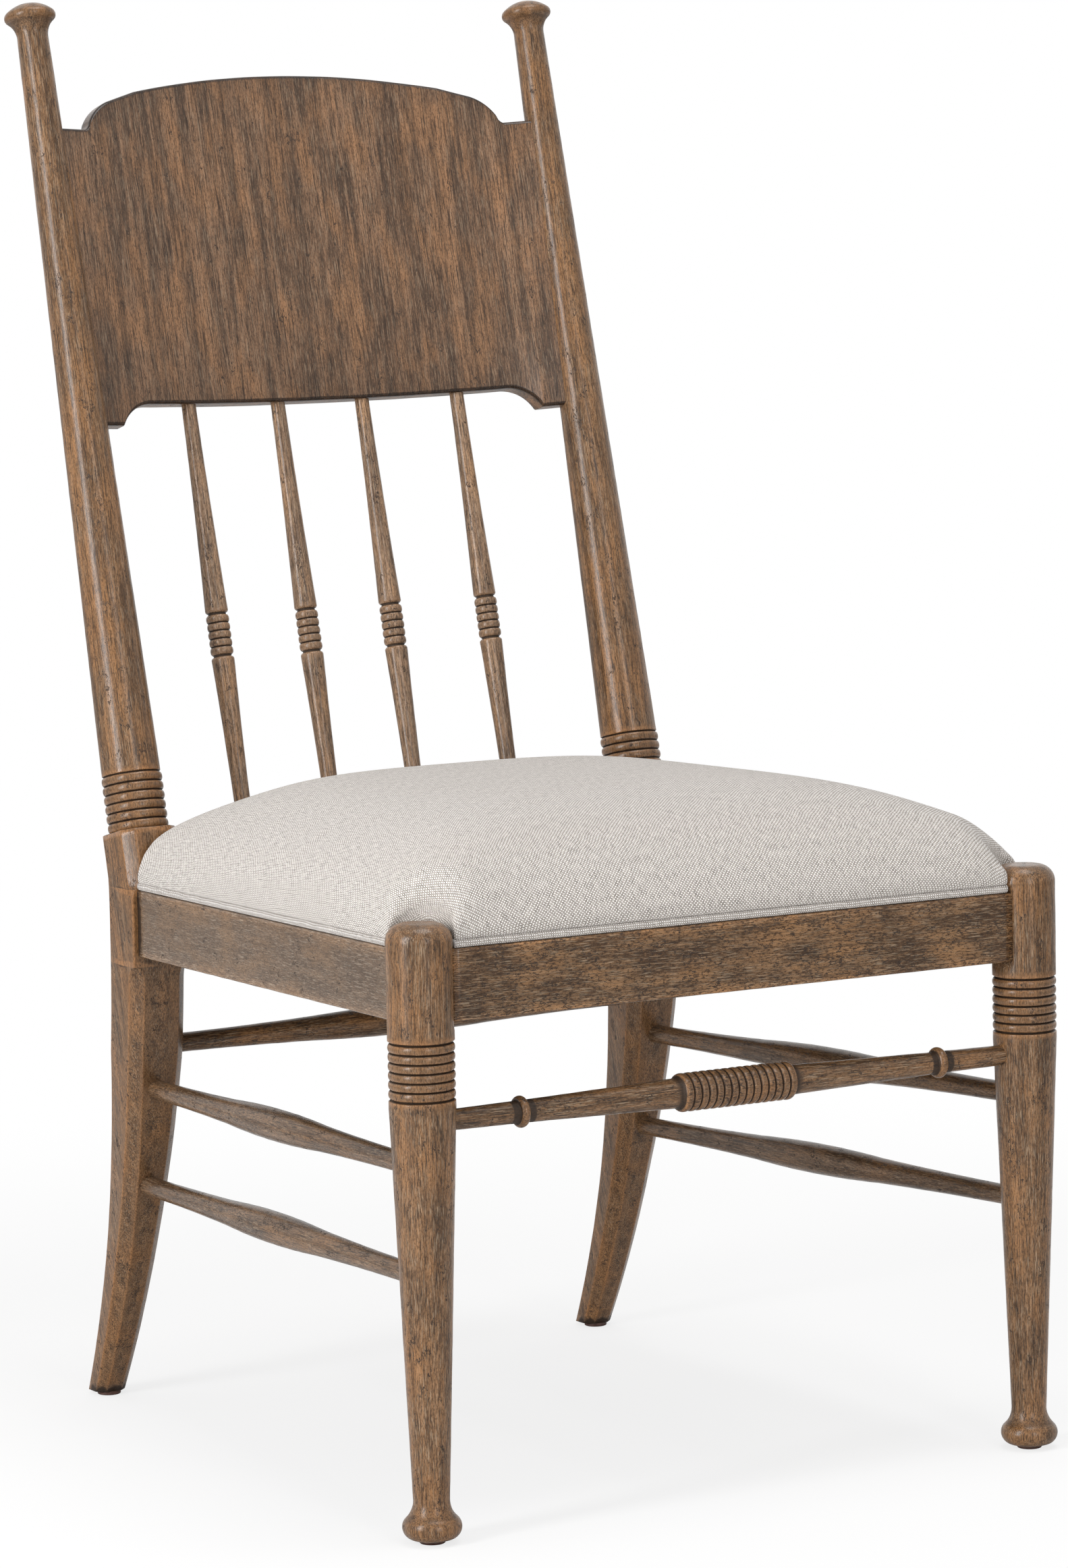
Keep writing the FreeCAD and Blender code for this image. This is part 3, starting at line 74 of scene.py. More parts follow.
@dataclass(frozen=True)
class Frame:
    """Axes, rails and lean that every sub-assembly of the chair is set out from."""

    leg_x: float = 249.4
    leg_radius: float = 23.0
    leg_top: float = 427.5
    post_x: float = 219.0
    post_y: float = 474.5
    post_width: float = 46.0
    post_depth: float = 48.0
    foot_z: float = 3.0
    sabre_radius: float = 790.0
    sabre_z: float = 372.0
    rake_z: float = 409.0
    rake: float = math.radians(13.53)
    bow: float = 29.0
    rail_top: float = 409.3
    rail_height: float = 49.8
    rail_thickness: float = 22.0
    rail_setback: float = 12.5
    flat: float = 18.5
    seat_fall: float = 6.0
    side_rail_inset: float = 4.0
    rear_rail_top: float = 432.0
    rear_rail_thickness: float = 24.0
    rear_rail_back: float = 3.5
    welt: float = 6.5
    soft_gap: float = 0.6

    @property
    def post_front(self) -> float:
        """Front face of the posts' blocks."""
        return self.post_y - self.post_depth / 2

    @property
    def post_inner(self) -> float:
        """Inner face of the posts' blocks, out from the middle."""
        return self.post_x - self.post_width / 2

    @property
    def rail_back(self) -> float:
        """Back face of the front rail."""
        return self.rail_thickness - self.rail_setback

    def bow_at(self, x: float | np.ndarray) -> float | np.ndarray:
        """How far the bowed back lies behind the line between the posts."""
        radius = (self.post_x ** 2 + self.bow ** 2) / (2 * self.bow)
        return self.bow - radius + np.sqrt(radius ** 2 - np.square(x))

    def seat_z(self, y: float | np.ndarray) -> float | np.ndarray:
        """Height of the side rails' tops, which fall towards the back."""
        return self.rail_top - self.seat_fall * (y - self.rail_back) / (self.post_front - self.rail_back)

    def rail_out(self, y: float | np.ndarray) -> float | np.ndarray:
        """Outer face of a side rail, out from the middle.

        Args:
            y: the setback.

        Returns:
            Its x on the right side.
        """
        front = self.leg_x + self.rail_setback
        back = self.post_x + self.post_width / 2 - self.side_rail_inset
        return front - (front - back) * (y - self.flat) / (self.post_front - self.flat)

    def rear_rail_front(self, x: float | np.ndarray) -> float | np.ndarray:
        """Front face of the bowed rear rail."""
        return self.post_y + self.rear_rail_back + self.bow_at(x) - self.rear_rail_thickness / 2

    def post_centre(self, z: float) -> float:
        """Setback of the rear leg's middle line on its sweep.

        Args:
            z: the height.

        Returns:
            Its y.
        """
        if z >= self.sabre_z:
            return self.post_y
        return self.post_y + self.sabre_radius - math.sqrt(self.sabre_radius ** 2 - (self.sabre_z - z) ** 2)

    def lean(self, x: np.ndarray, s: np.ndarray, n: np.ndarray) -> np.ndarray:
        """Points of the leaning frame as x, y, z.

        Args:
            x: out from the middle.
            s: along the lean.
            n: square to it.

        Returns:
            The points.
        """
        x, s, n = np.broadcast_arrays(x, s, n)
        y = self.post_y + s * math.sin(self.rake) + n * math.cos(self.rake)
        z = self.rake_z + s * math.cos(self.rake) - n * math.sin(self.rake)
        return np.stack([x, y, z], axis=-1).astype(float)

    def seat_plan(self, u: np.ndarray, v: np.ndarray, inset: float, gap: float,
                  rounds: int) -> tuple[np.ndarray, np.ndarray]:
        """Places over the seat, between the front, the side rails and the bowed rear rail.

        Args:
            u: share across, from -1 to 1.
            v: share back, from -1 to 1.
            inset: distance in from the outer faces of the front and side rails.
            gap: distance kept from the rear rail.
            rounds: times that the two directions are settled against each other.

        Returns:
            The places' x and y.
        """
        front, x = inset - self.rail_setback, np.zeros_like(u)
        for _ in range(rounds):
            back = self.rear_rail_front(x) - gap
            y = front + (v + 1) / 2 * (back - front)
            x = u * (self.rail_out(y) - inset)
        return x, y


CHAIR = Frame()


# Lines, turnings and lofts


def stacked(*parts: float | np.ndarray) -> np.ndarray:
    """Numbers and rows of numbers side by side, as columns."""
    return np.column_stack(np.broadcast_arrays(*parts))


def part_way(value: float, low: float, high: float) -> float:
    """Share of the way from low to high, kept from 0 to 1."""
    return min(1.0, max(0.0, (value - low) / (high - low)))


def divided(marks: tuple[float, ...], counts: tuple[int, ...]) -> np.ndarray:
    """Numbers from the first mark to the last, with so many steps between each mark and the next."""
    runs = [np.linspace(low, high, count + 1)[1:] for low, high, count in zip(marks, marks[1:], counts)]
    return np.concatenate([marks[:1], *runs])


def in_frame(points: np.ndarray) -> np.ndarray:
    """Points of the chair in metres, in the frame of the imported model."""
    return points * METRES + np.array((0, FRONT_Y, 0))


@dataclass(frozen=True)
class Beads:
    """A run of half-round beads on a turned piece."""

    radius: float
    depth: float
    pitch: float
    count: int

    @property
    def length(self) -> float:
        """Length of the whole run."""
        return self.pitch * self.count


@dataclass
class Outline:
    """A line of (radius, height) points drawn in straight runs and arcs."""

    BEAD_POINTS = 15
    BEAD_POWER = 2.4
    SAME_SPOT = 1e-4

    points: list[tuple[float, float]]
    run: float = 6.0
    crisp: float = 0.5

    def line(self, radius: float, height: float) -> Outline:
        """Add a straight run, with a point close to each end so that shading keeps the corner.

        Args:
            radius: radius of its end.
            height: height of its end.

        Returns:
            This outline.
        """
        start = np.array(self.points[-1])
        end = np.array((radius, height))
        length = float(np.linalg.norm(end - start))
        marks = list(np.linspace(0, 1, max(2, int(length / self.run) + 1))[1:-1])
        if length > self.crisp * 3:
            marks += [self.crisp / length, 1 - self.crisp / length]
        self.points += [tuple(start + (end - start) * mark) for mark in sorted(marks) + [1.0]]
        return self

    def arc(self, radius: float, height: float, rise: float, count: int) -> Outline:
        """Add an arc that bows by rise to the right of its travel."""
        self.points += [tuple(spot) for spot in arc_points(self.points[-1], (radius, height), rise, count)]
        return self

    def beads(self, beads: Beads, start: float) -> Outline:
        """Add a run of beads.

        Args:
            beads: their sizes and number.
            start: height where the run starts.

        Returns:
            This outline.
        """
        core = beads.radius - beads.depth
        self.line(core, start)
        for number in range(beads.count):
            for share in np.sin(np.linspace(-math.pi / 2, math.pi / 2, self.BEAD_POINTS))[1:]:
                full = max(0.0, 1 - abs(share) ** self.BEAD_POWER) ** 0.5
                height = start + beads.pitch * (number + 0.5 + share / 2)
                self.points.append((core + beads.depth * full, height))
        return self

    def array(self) -> np.ndarray:
        """The outline's points without doubles.

        Returns:
            The points, one to a row.
        """
        spots = np.array(self.points)
        apart = np.r_[True, np.linalg.norm(np.diff(spots, axis=0), axis=1) > self.SAME_SPOT]
        return spots[apart]


def arc_points(start: tuple, end: tuple, rise: float, count: int) -> np.ndarray:
    """Points of a flat arc after its start.

    Args:
        start: point where the arc starts.
        end: point where it ends.
        rise: how far it bows to the right of its travel, or to the left below zero.
        count: number of points.

    Returns:
        The points, one to a row.
    """
    start, end = np.asarray(start, float), np.asarray(end, float)
    chord = end - start
    length = np.linalg.norm(chord)
    along, right = chord / length, np.array((chord[1], -chord[0])) / length
    radius = (length ** 2 / 4 + rise ** 2) / (2 * abs(rise))
    half = math.asin(min(1.0, length / 2 / radius))
    if abs(rise) > length / 2:
        half = math.pi - half
    angles = np.linspace(-half, half, count + 1)[1:]
    sideways = (radius * np.cos(angles) - radius + abs(rise)) * math.copysign(1, rise)
    spots = (start + end) / 2 + np.outer(radius * np.sin(angles), along) + np.outer(sideways, right)
    spots[-1] = end
    return spots


def bar_section(front: float, back: float, low: float, high: float,
                rounds: tuple[float, float]) -> np.ndarray:
    """A rectangle with rounded corners, for rails and the panel.

    Args:
        front: depth of the front face.
        back: depth of the back face.
        low: height of the lower face.
        high: height of the upper face.
        rounds: radius of the front corners, and of the back corners.

    Returns:
        The (depth, height) points around it.
    """
    corners = ((front, low, 1, 1, rounds[0]), (back, low, -1, 1, rounds[1]),
               (back, high, -1, -1, rounds[1]), (front, high, 1, -1, rounds[0]))
    arcs = []
    for index, (u, v, way_u, way_v, size) in enumerate(corners):
        angles = math.pi * (1 + index / 2) + np.linspace(0, math.pi / 2, 6)
        arcs.append(stacked(u + size * (way_u + np.cos(angles)), v + size * (way_v + np.sin(angles))))
    points = []
    for arc, following in zip(arcs, arcs[1:] + arcs[:1]):
        points += [*arc, *(arc[-1] + (following[0] - arc[-1]) * share for share in (0.25, 0.5, 0.75))]
    return np.array(points)


def relief_of(line: np.ndarray, outward: np.ndarray, closed: bool, window: float) -> np.ndarray:
    """How much a line stands out at each point: above zero on ridges, below zero in grooves.

    Args:
        line: points of the line, one to a row.
        outward: a direction away from the wood at each point.
        closed: whether the line's end joins its start.
        window: distance along the line over which it is judged.

    Returns:
        One number for each point, about -1 to 1.
    """
    spots = np.vstack([line[-3:], line, line[:3]]) if closed else line
    steps = np.r_[0, np.cumsum(np.linalg.norm(np.diff(spots, axis=0), axis=1))]
    steps = steps + np.arange(len(steps)) * 1e-9
    at = steps[slice(3, -3) if closed else slice(None)]
    ends = [np.stack([np.interp(at + move, steps, spots[:, axis]) for axis in range(line.shape[1])], axis=1)
            for move in (-window, window)]
    swerve = line - (ends[0] + ends[1]) / 2
    sign = np.sign(np.sum(swerve * outward, axis=1))
    return sign * np.linalg.norm(swerve, axis=1) / window


def grid_faces(index: np.ndarray, below: bool = False) -> list[list[int]]:
    """Quads over a grid of point numbers.

    Args:
        index: the point numbers, in rows and columns.
        below: whether the faces look down instead of up.

    Returns:
        The faces, row by row.
    """
    corners = [index[:-1, :-1], index[1:, :-1], index[1:, 1:], index[:-1, 1:]]
    if below:
        corners[1:] = corners[:0:-1]
    return np.stack(corners, axis=-1).reshape(-1, 4).tolist()


@dataclass
class Shell:
    """A closed skin of points, faces and how much each point stands out."""

    END_MARGIN = 4.0

    points: np.ndarray
    faces: list[list[int]]
    relief: np.ndarray

    @classmethod
    def lofted(cls, rings: list[np.ndarray], window: float, lengthwise: bool = True) -> Shell:
        """A skin over closed rings of equal count, with a middle point at each end.

        Args:
            rings: the rings, each an array of points.
            window: distance over which ridges and grooves are judged.
            lengthwise: whether they are judged from ring to ring too.

        Returns:
            The closed skin.
        """
        rings = np.array(rings)
        relief = np.array([relief_of(ring, ring - ring.mean(axis=0), True, window) for ring in rings])
        middle = rings.mean(axis=1)
        if lengthwise:
            for index in range(rings.shape[1]):
                line = rings[:, index]
                relief[:, index] += relief_of(line, line - middle, False, window)
        return cls.capped(rings, relief, middle[0], middle[-1])

    @classmethod
    def capped(cls, rings: np.ndarray, relief: np.ndarray, first: np.ndarray, last: np.ndarray) -> Shell:
        """Join rings with quads, and each end ring to one point.

        Args:
            rings: array of rings, points and x, y, z.
            relief: how much each of their points stands out.
            first: the point that closes the first ring.
            last: the point that closes the last ring.

        Returns:
            The closed skin.
        """
        count, around = rings.shape[:2]
        index = np.arange(count * around).reshape(count, around)
        faces = grid_faces(np.c_[index, index[:, 0]], below=True)
        low, high, total = index[0], index[-1], index.size
        fans = stacked(total, np.roll(low, -1), low, total + 1, high, np.roll(high, -1))
        faces += fans.reshape(-1, 3).tolist()
        return cls(np.vstack([rings.reshape(-1, 3), first, last]), faces, np.r_[relief.ravel(), 0, 0])

    @classmethod
    def turned(cls, outline: np.ndarray, segments: int, window: float = 1.1) -> Shell:
        """A lathe-turned skin about Z.

        Ridges and grooves are judged along the outline. Grooves are judged along the height too, which finds
        the narrow quirks between beads, but not close to the ends, where the outline closes.

        Args:
            outline: (radius, height) points that start and end on the axis.
            segments: number of faces around.
            window: distance over which ridges and grooves are judged.

        Returns:
            The closed skin.
        """
        tangent = np.gradient(outline, axis=0)
        relief = relief_of(outline, stacked(tangent[:, 1], -tangent[:, 0]), False, window)
        radii, heights = outline.T
        beside = [np.interp(heights + move, heights, radii) for move in (-window, window)]
        sunk = (radii - (beside[0] + beside[1]) / 2) / window
        inner = (heights > heights[0] + cls.END_MARGIN) & (heights < heights[-1] - cls.END_MARGIN)
        relief = np.where((sunk < 0) & inner, np.minimum(relief, sunk), relief)
        rows = radii > 1e-3
        angles = np.linspace(0, 2 * math.pi, segments, endpoint=False)
        rings = np.empty((rows.sum(), segments, 3))
        rings[..., 0] = np.outer(radii[rows], np.cos(angles))
        rings[..., 1] = np.outer(radii[rows], np.sin(angles))
        rings[..., 2] = heights[rows, None]
        spread = np.repeat(relief[rows, None], segments, axis=1)
        return cls.capped(rings, spread, np.array((0, 0, heights[0])), np.array((0, 0, heights[-1])))

    def worn(self, amount: float, size: float, seed: float) -> Shell:
        """Move the points by a little smooth noise, as a hand-finished surface has.

        Args:
            amount: how far a point may move.
            size: distance over which the noise changes.
            seed: place in the noise.

        Returns:
            This skin.
        """
        start = Vector((seed, seed * 0.37, 0))
        for index, spot in enumerate(self.points):
            self.points[index] = spot + np.array(noise.noise_vector(Vector(spot) / size + start)) * amount
        return self

    def placed(self, matrix: Matrix) -> Shell:
        """Turn and move the skin by a matrix in millimetres."""
        self.points = self.points @ np.array(matrix.to_3x3()).T + np.array(matrix.to_translation())
        return self

    def leaned(self, x: float, behind: float) -> Shell:
        """Set a skin drawn upright about its own axis into the leaning frame."""
        self.points = CHAIR.lean(self.points[:, 0] + x, self.points[:, 2], self.points[:, 1] + behind)
        return self


# Objects


def linked(name: str, data: bpy.types.ID) -> Piece:
    """A new object of this data, in the scene.

    Args:
        name: its name.
        data: what it shows.

    Returns:
        The object.
    """
    made = bpy.data.objects.new(name, data)
    bpy.context.scene.collection.objects.link(made)
    return made


def piece_from(name: str, shells: list[Shell]) -> Piece:
    """Make an object of one or more closed skins, smooth shaded, with faces outwards.

    Args:
        name: the object's name.
        shells: its skins, in millimetres.

    Returns:
        The object.
    """
    faces, start = [], 0
    for shell in shells:
        faces += [[start + index for index in face] for face in shell.faces]
        start += len(shell.points)
    mesh = bpy.data.meshes.new(name)
    mesh.from_pydata(in_frame(np.vstack([shell.points for shell in shells])).tolist(), [], faces)
    work = bmesh.new()
    work.from_mesh(mesh)
    bmesh.ops.recalc_face_normals(work, faces=work.faces)
    work.to_mesh(mesh)
    work.free()
    mesh.polygons.foreach_set("use_smooth", [True] * len(mesh.polygons))
    relief = mesh.attributes.new("relief", "FLOAT", "POINT")
    relief.data.foreach_set("value", np.concatenate([shell.relief for shell in shells]).astype(np.float32))
    return linked(name, mesh)


def dress(piece: Piece, material: Material, slot: str, *nodes: str) -> Piece:
    """Give a piece its material and its body, and hide the nodes that it stands for.

    Args:
        piece: the piece.
        material: the finish that it gets unless it has one.
        slot: the record's material slot; not used.
        nodes: the CAD nodes that the piece stands for.

    Returns:
        The piece.
    """
    if not piece.data.materials:
        piece.data.materials.append(material)
    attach(piece, "root")
    if nodes:
        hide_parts(*nodes)
    LOG.info("%s: %d faces", piece.name, len(piece.data.polygons))
    return piece


def stand_in(node: str, ending: str, shells: list[Shell], material: Material,
             slot: str = "wood_turned") -> None:
    """Make the piece that stands for a node and is named after it."""
    dress(piece_from(f"{node}_{ending}", shells), material, slot, node)


def read_points(mesh: bpy.types.Mesh) -> np.ndarray:
    """A mesh's points in metres, one to a row.

    Args:
        mesh: the mesh.

    Returns:
        The points.
    """
    spots = np.empty(len(mesh.vertices) * 3, dtype=np.float32)
    mesh.vertices.foreach_get("co", spots)
    return spots.reshape(-1, 3)


def map_cloth(piece: Piece, places: np.ndarray) -> None:
    """Write the UV map of the cloth, in metres, from one place in millimetres for each point.

    Args:
        piece: the piece.
        places: the cloth's own place of each point.
    """
    layer = piece.data.uv_layers.new(name="cloth")
    corners = np.empty(len(piece.data.loops), dtype=int)
    piece.data.loops.foreach_get("vertex_index", corners)
    layer.data.foreach_set("uv", (places * METRES)[corners].ravel().astype(np.float32))


# Node trees


class Graph:
    """Short calls for the nodes of one material or world."""

    def __init__(self, holder: Material | bpy.types.World) -> None:
        """Start with an empty tree.

        Args:
            holder: the new material or world.
        """
        self.holder = holder
        holder.use_nodes = True
        self.tree = holder.node_tree
        self.tree.nodes.clear()

    def feed(self, target: Socket, value: Socket | float | tuple) -> None:
        """Link a socket, or set the target's own value.

        Args:
            target: the input.
            value: the socket or number that feeds it.
        """
        if isinstance(value, bpy.types.NodeSocket):
            self.tree.links.new(value, target)
        elif target.type == "RGBA" and len(value) == 3:
            target.default_value = (*value, 1.0)
        else:
            target.default_value = value

    def add(self, kind: str, settings: dict | None = None,
            **inputs: Socket | float | tuple) -> bpy.types.Node:
        """Add a node.

        Args:
            kind: the node's type.
            settings: its own settings by name.
            inputs: its inputs by name, with spaces as underscores.

        Returns:
            The node.
        """
        node = self.tree.nodes.new(kind)
        for key, value in (settings or {}).items():
            setattr(node, key, value)
        for key, value in inputs.items():
            self.feed(node.inputs[key.replace("_", " ")], value)
        return node

    def feed_all(self, node: bpy.types.Node, values: dict) -> bpy.types.Node:
        """Feed a node's inputs by number or full name.

        Args:
            node: the node.
            values: what feeds each input.

        Returns:
            The node.
        """
        for key, value in values.items():
            self.feed(node.inputs[key], value)
        return node

    def math(self, operation: str, *values: Socket | float) -> Socket:
        """A Math node's result."""
        node = self.add("ShaderNodeMath", {"operation": operation})
        return self.feed_all(node, dict(enumerate(values))).outputs[0]

    def times(self, first: Socket | float, second: Socket | float) -> Socket:
        """The product of two values."""
        return self.math("MULTIPLY", first, second)

    def minus(self, first: Socket | float, second: Socket | float) -> Socket:
        """The difference of two values."""
        return self.math("SUBTRACT", first, second)

    def scaled(self, value: Socket, factor: Socket | float, added: Socket | float) -> Socket:
        """A value times a factor, with something added."""
        return self.math("MULTIPLY_ADD", value, factor, added)

    def mix(self, share: Socket | float, first: Socket | Colour, second: Socket | Colour,
            blend: str = "MIX") -> Socket:
        """Two colours mixed by a share."""
        node = self.add("ShaderNodeMix", {"data_type": "RGBA", "blend_type": blend})
        return self.feed_all(node, {0: share, 6: first, 7: second}).outputs[2]

    def step(self, value: Socket, low: float, high: float, out_low: float = 0.0,
             out_high: float = 1.0) -> Socket:
        """A smooth step of a value.

        Args:
            value: the value.
            low: where the step starts; it may be above high.
            high: where the step ends.
            out_low: the result at low.
            out_high: the result at high.

        Returns:
            The result.
        """
        ends = sorted(((low, out_low), (high, out_high)))
        settings = {"interpolation_type": "SMOOTHSTEP"}
        return self.add("ShaderNodeMapRange", settings, Value=value, From_Min=ends[0][0], From_Max=ends[1][0],
                        To_Min=ends[0][1], To_Max=ends[1][1]).outputs[0]

    def own_place(self) -> Socket:
        """Coordinates in the piece's own space."""
        return self.add("ShaderNodeTexCoord").outputs["Object"]

    def place(self, vector: Socket, turn: tuple = (0, 0, 0), scale: tuple = (1, 1, 1),
              move: tuple = (0, 0, 0)) -> Socket:
        """A Mapping node's vector: scaled, turned, then moved."""
        return self.add("ShaderNodeMapping", Vector=vector, Rotation=turn, Scale=scale,
                        Location=move).outputs[0]

    def noise(self, vector: Socket, detail: float = 2.0, rough: float = 0.5, twist: float = 0.0) -> Socket:
        """A noise value about 0.5."""
        return self.add("ShaderNodeTexNoise", Vector=vector, Scale=1.0, Detail=detail, Roughness=rough,
                        Distortion=twist).outputs[0]

    def pattern(self, wood: Socket, cell: tuple[float, float], move: tuple = (0, 0, 0),
                **shape: float) -> Socket:
        """Noise in cells of so many millimetres across and along the grain, which is along Z."""
        return self.noise(self.place(wood, scale=per_mm(*cell), move=move), **shape)

    def surface(self, colour: Socket, height: Socket, bump: tuple[float, float],
                **inputs: Socket | float) -> Material:
        """Close the material with a Principled shader.

        Args:
            colour: its base colour.
            height: the height of the bump.
            bump: the bump's strength, and its distance in metres.
            inputs: the shader's other inputs.

        Returns:
            The material.
        """
        bent = self.add("ShaderNodeBump", Strength=bump[0], Distance=bump[1], Height=height).outputs[0]
        shader = self.add("ShaderNodeBsdfPrincipled", Base_Color=colour, Normal=bent, **inputs)
        return self.finish(shader.outputs[0])

    def finish(self, shader: Socket) -> Material:
        """Close the material with its output."""
        self.add("ShaderNodeOutputMaterial", Surface=shader)
        return self.holder


class Growth(Graph):
    """A geometry node tree with named sizes, which is grown on a mesh of places."""

    def __init__(self, name: str, sizes: dict[str, float]) -> None:
        """Start a tree with one input for each size.

        Args:
            name: its name.
            sizes: the sizes by name.
        """
        self.tree = bpy.data.node_groups.new(name, "GeometryNodeTree")
        self.sizes = sizes
        face = self.tree.interface
        face.new_socket("Geometry", in_out="INPUT", socket_type="NodeSocketGeometry")
        face.new_socket("Geometry", in_out="OUTPUT", socket_type="NodeSocketGeometry")
        for label in sizes:
            face.new_socket(label, in_out="INPUT", socket_type="NodeSocketFloat")
        self.inputs = self.add("NodeGroupInput").outputs

    def spot(self, x: Socket | float = 0.0, y: Socket | float = 0.0, z: Socket | float = 0.0) -> Socket:
        """A vector from three numbers or sockets."""
        return self.add("ShaderNodeCombineXYZ", X=x, Y=y, Z=z).outputs[0]

    def shape(self, kind: str, settings: dict | None = None, **inputs: Socket | float) -> Socket:
        """A node's first result."""
        return self.add(kind, settings, **inputs).outputs[0]

    def moved(self, shape: Socket, move: Socket | tuple = (0, 0, 0),
              scale: Socket | tuple = (1, 1, 1)) -> Socket:
        """A shape that is scaled, then moved."""
        return self.shape("GeometryNodeTransform", Geometry=shape, Translation=move, Scale=scale)

    def joined(self, *shapes: Socket) -> Socket:
        """Several shapes as one.

        Args:
            shapes: the shapes.

        Returns:
            The joined shape.
        """
        join = self.add("GeometryNodeJoinGeometry")
        for shape in shapes:
            self.feed(join.inputs[0], shape)
        return join.outputs[0]

    def close(self, shape: Socket, material: Material) -> None:
        """End the tree: real geometry in one material.

        Args:
            shape: what the tree has made.
            material: its finish.
        """
        smooth = self.shape("GeometryNodeSetShadeSmooth", Geometry=shape)
        real = self.shape("GeometryNodeRealizeInstances", Geometry=smooth)
        dressed = self.shape("GeometryNodeSetMaterial", Geometry=real, Material=material)
        self.add("NodeGroupOutput", Geometry=dressed)

    def grow(self, name: str, places: bpy.types.Mesh) -> Piece:
        """Run the tree.

        Args:
            name: name of the piece.
            places: the mesh that the tree starts from.

        Returns:
            The plain object that the tree makes.
        """
        carrier = linked(name + "_places", places)
        modifier = carrier.modifiers.new("grow", "NODES")
        modifier.node_group = self.tree
        for item in self.tree.interface.items_tree:
            if item.in_out == "INPUT" and item.name in self.sizes:
                modifier[item.identifier] = self.sizes[item.name]
        grown = bpy.data.meshes.new_from_object(carrier.evaluated_get(bpy.context.evaluated_depsgraph_get()))
        carrier.modifiers.remove(modifier)
        bpy.data.objects.remove(carrier)
        grown.materials.clear()
        grown.polygons.foreach_set("material_index", [0] * len(grown.polygons))
        return linked(name, grown)


# Finishes


class Grain(Enum):
    """Turns that lay the grain of a piece, by its direction, along Z of the pattern."""

    UPRIGHT = (0.0, 0.0, 0.0)
    LEANING = (CHAIR.rake, 0.0, 0.0)
    ACROSS = (0.0, -math.pi / 2, 0.0)
    BACKWARD = (math.pi / 2, 0.0, 0.0)


def per_mm(across: float, along: float) -> tuple[float, float, float]:
    """Scale of a pattern whose cells are so many millimetres across and along the grain."""
    return (1 / (across * METRES), 1 / (across * METRES), 1 / (along * METRES))


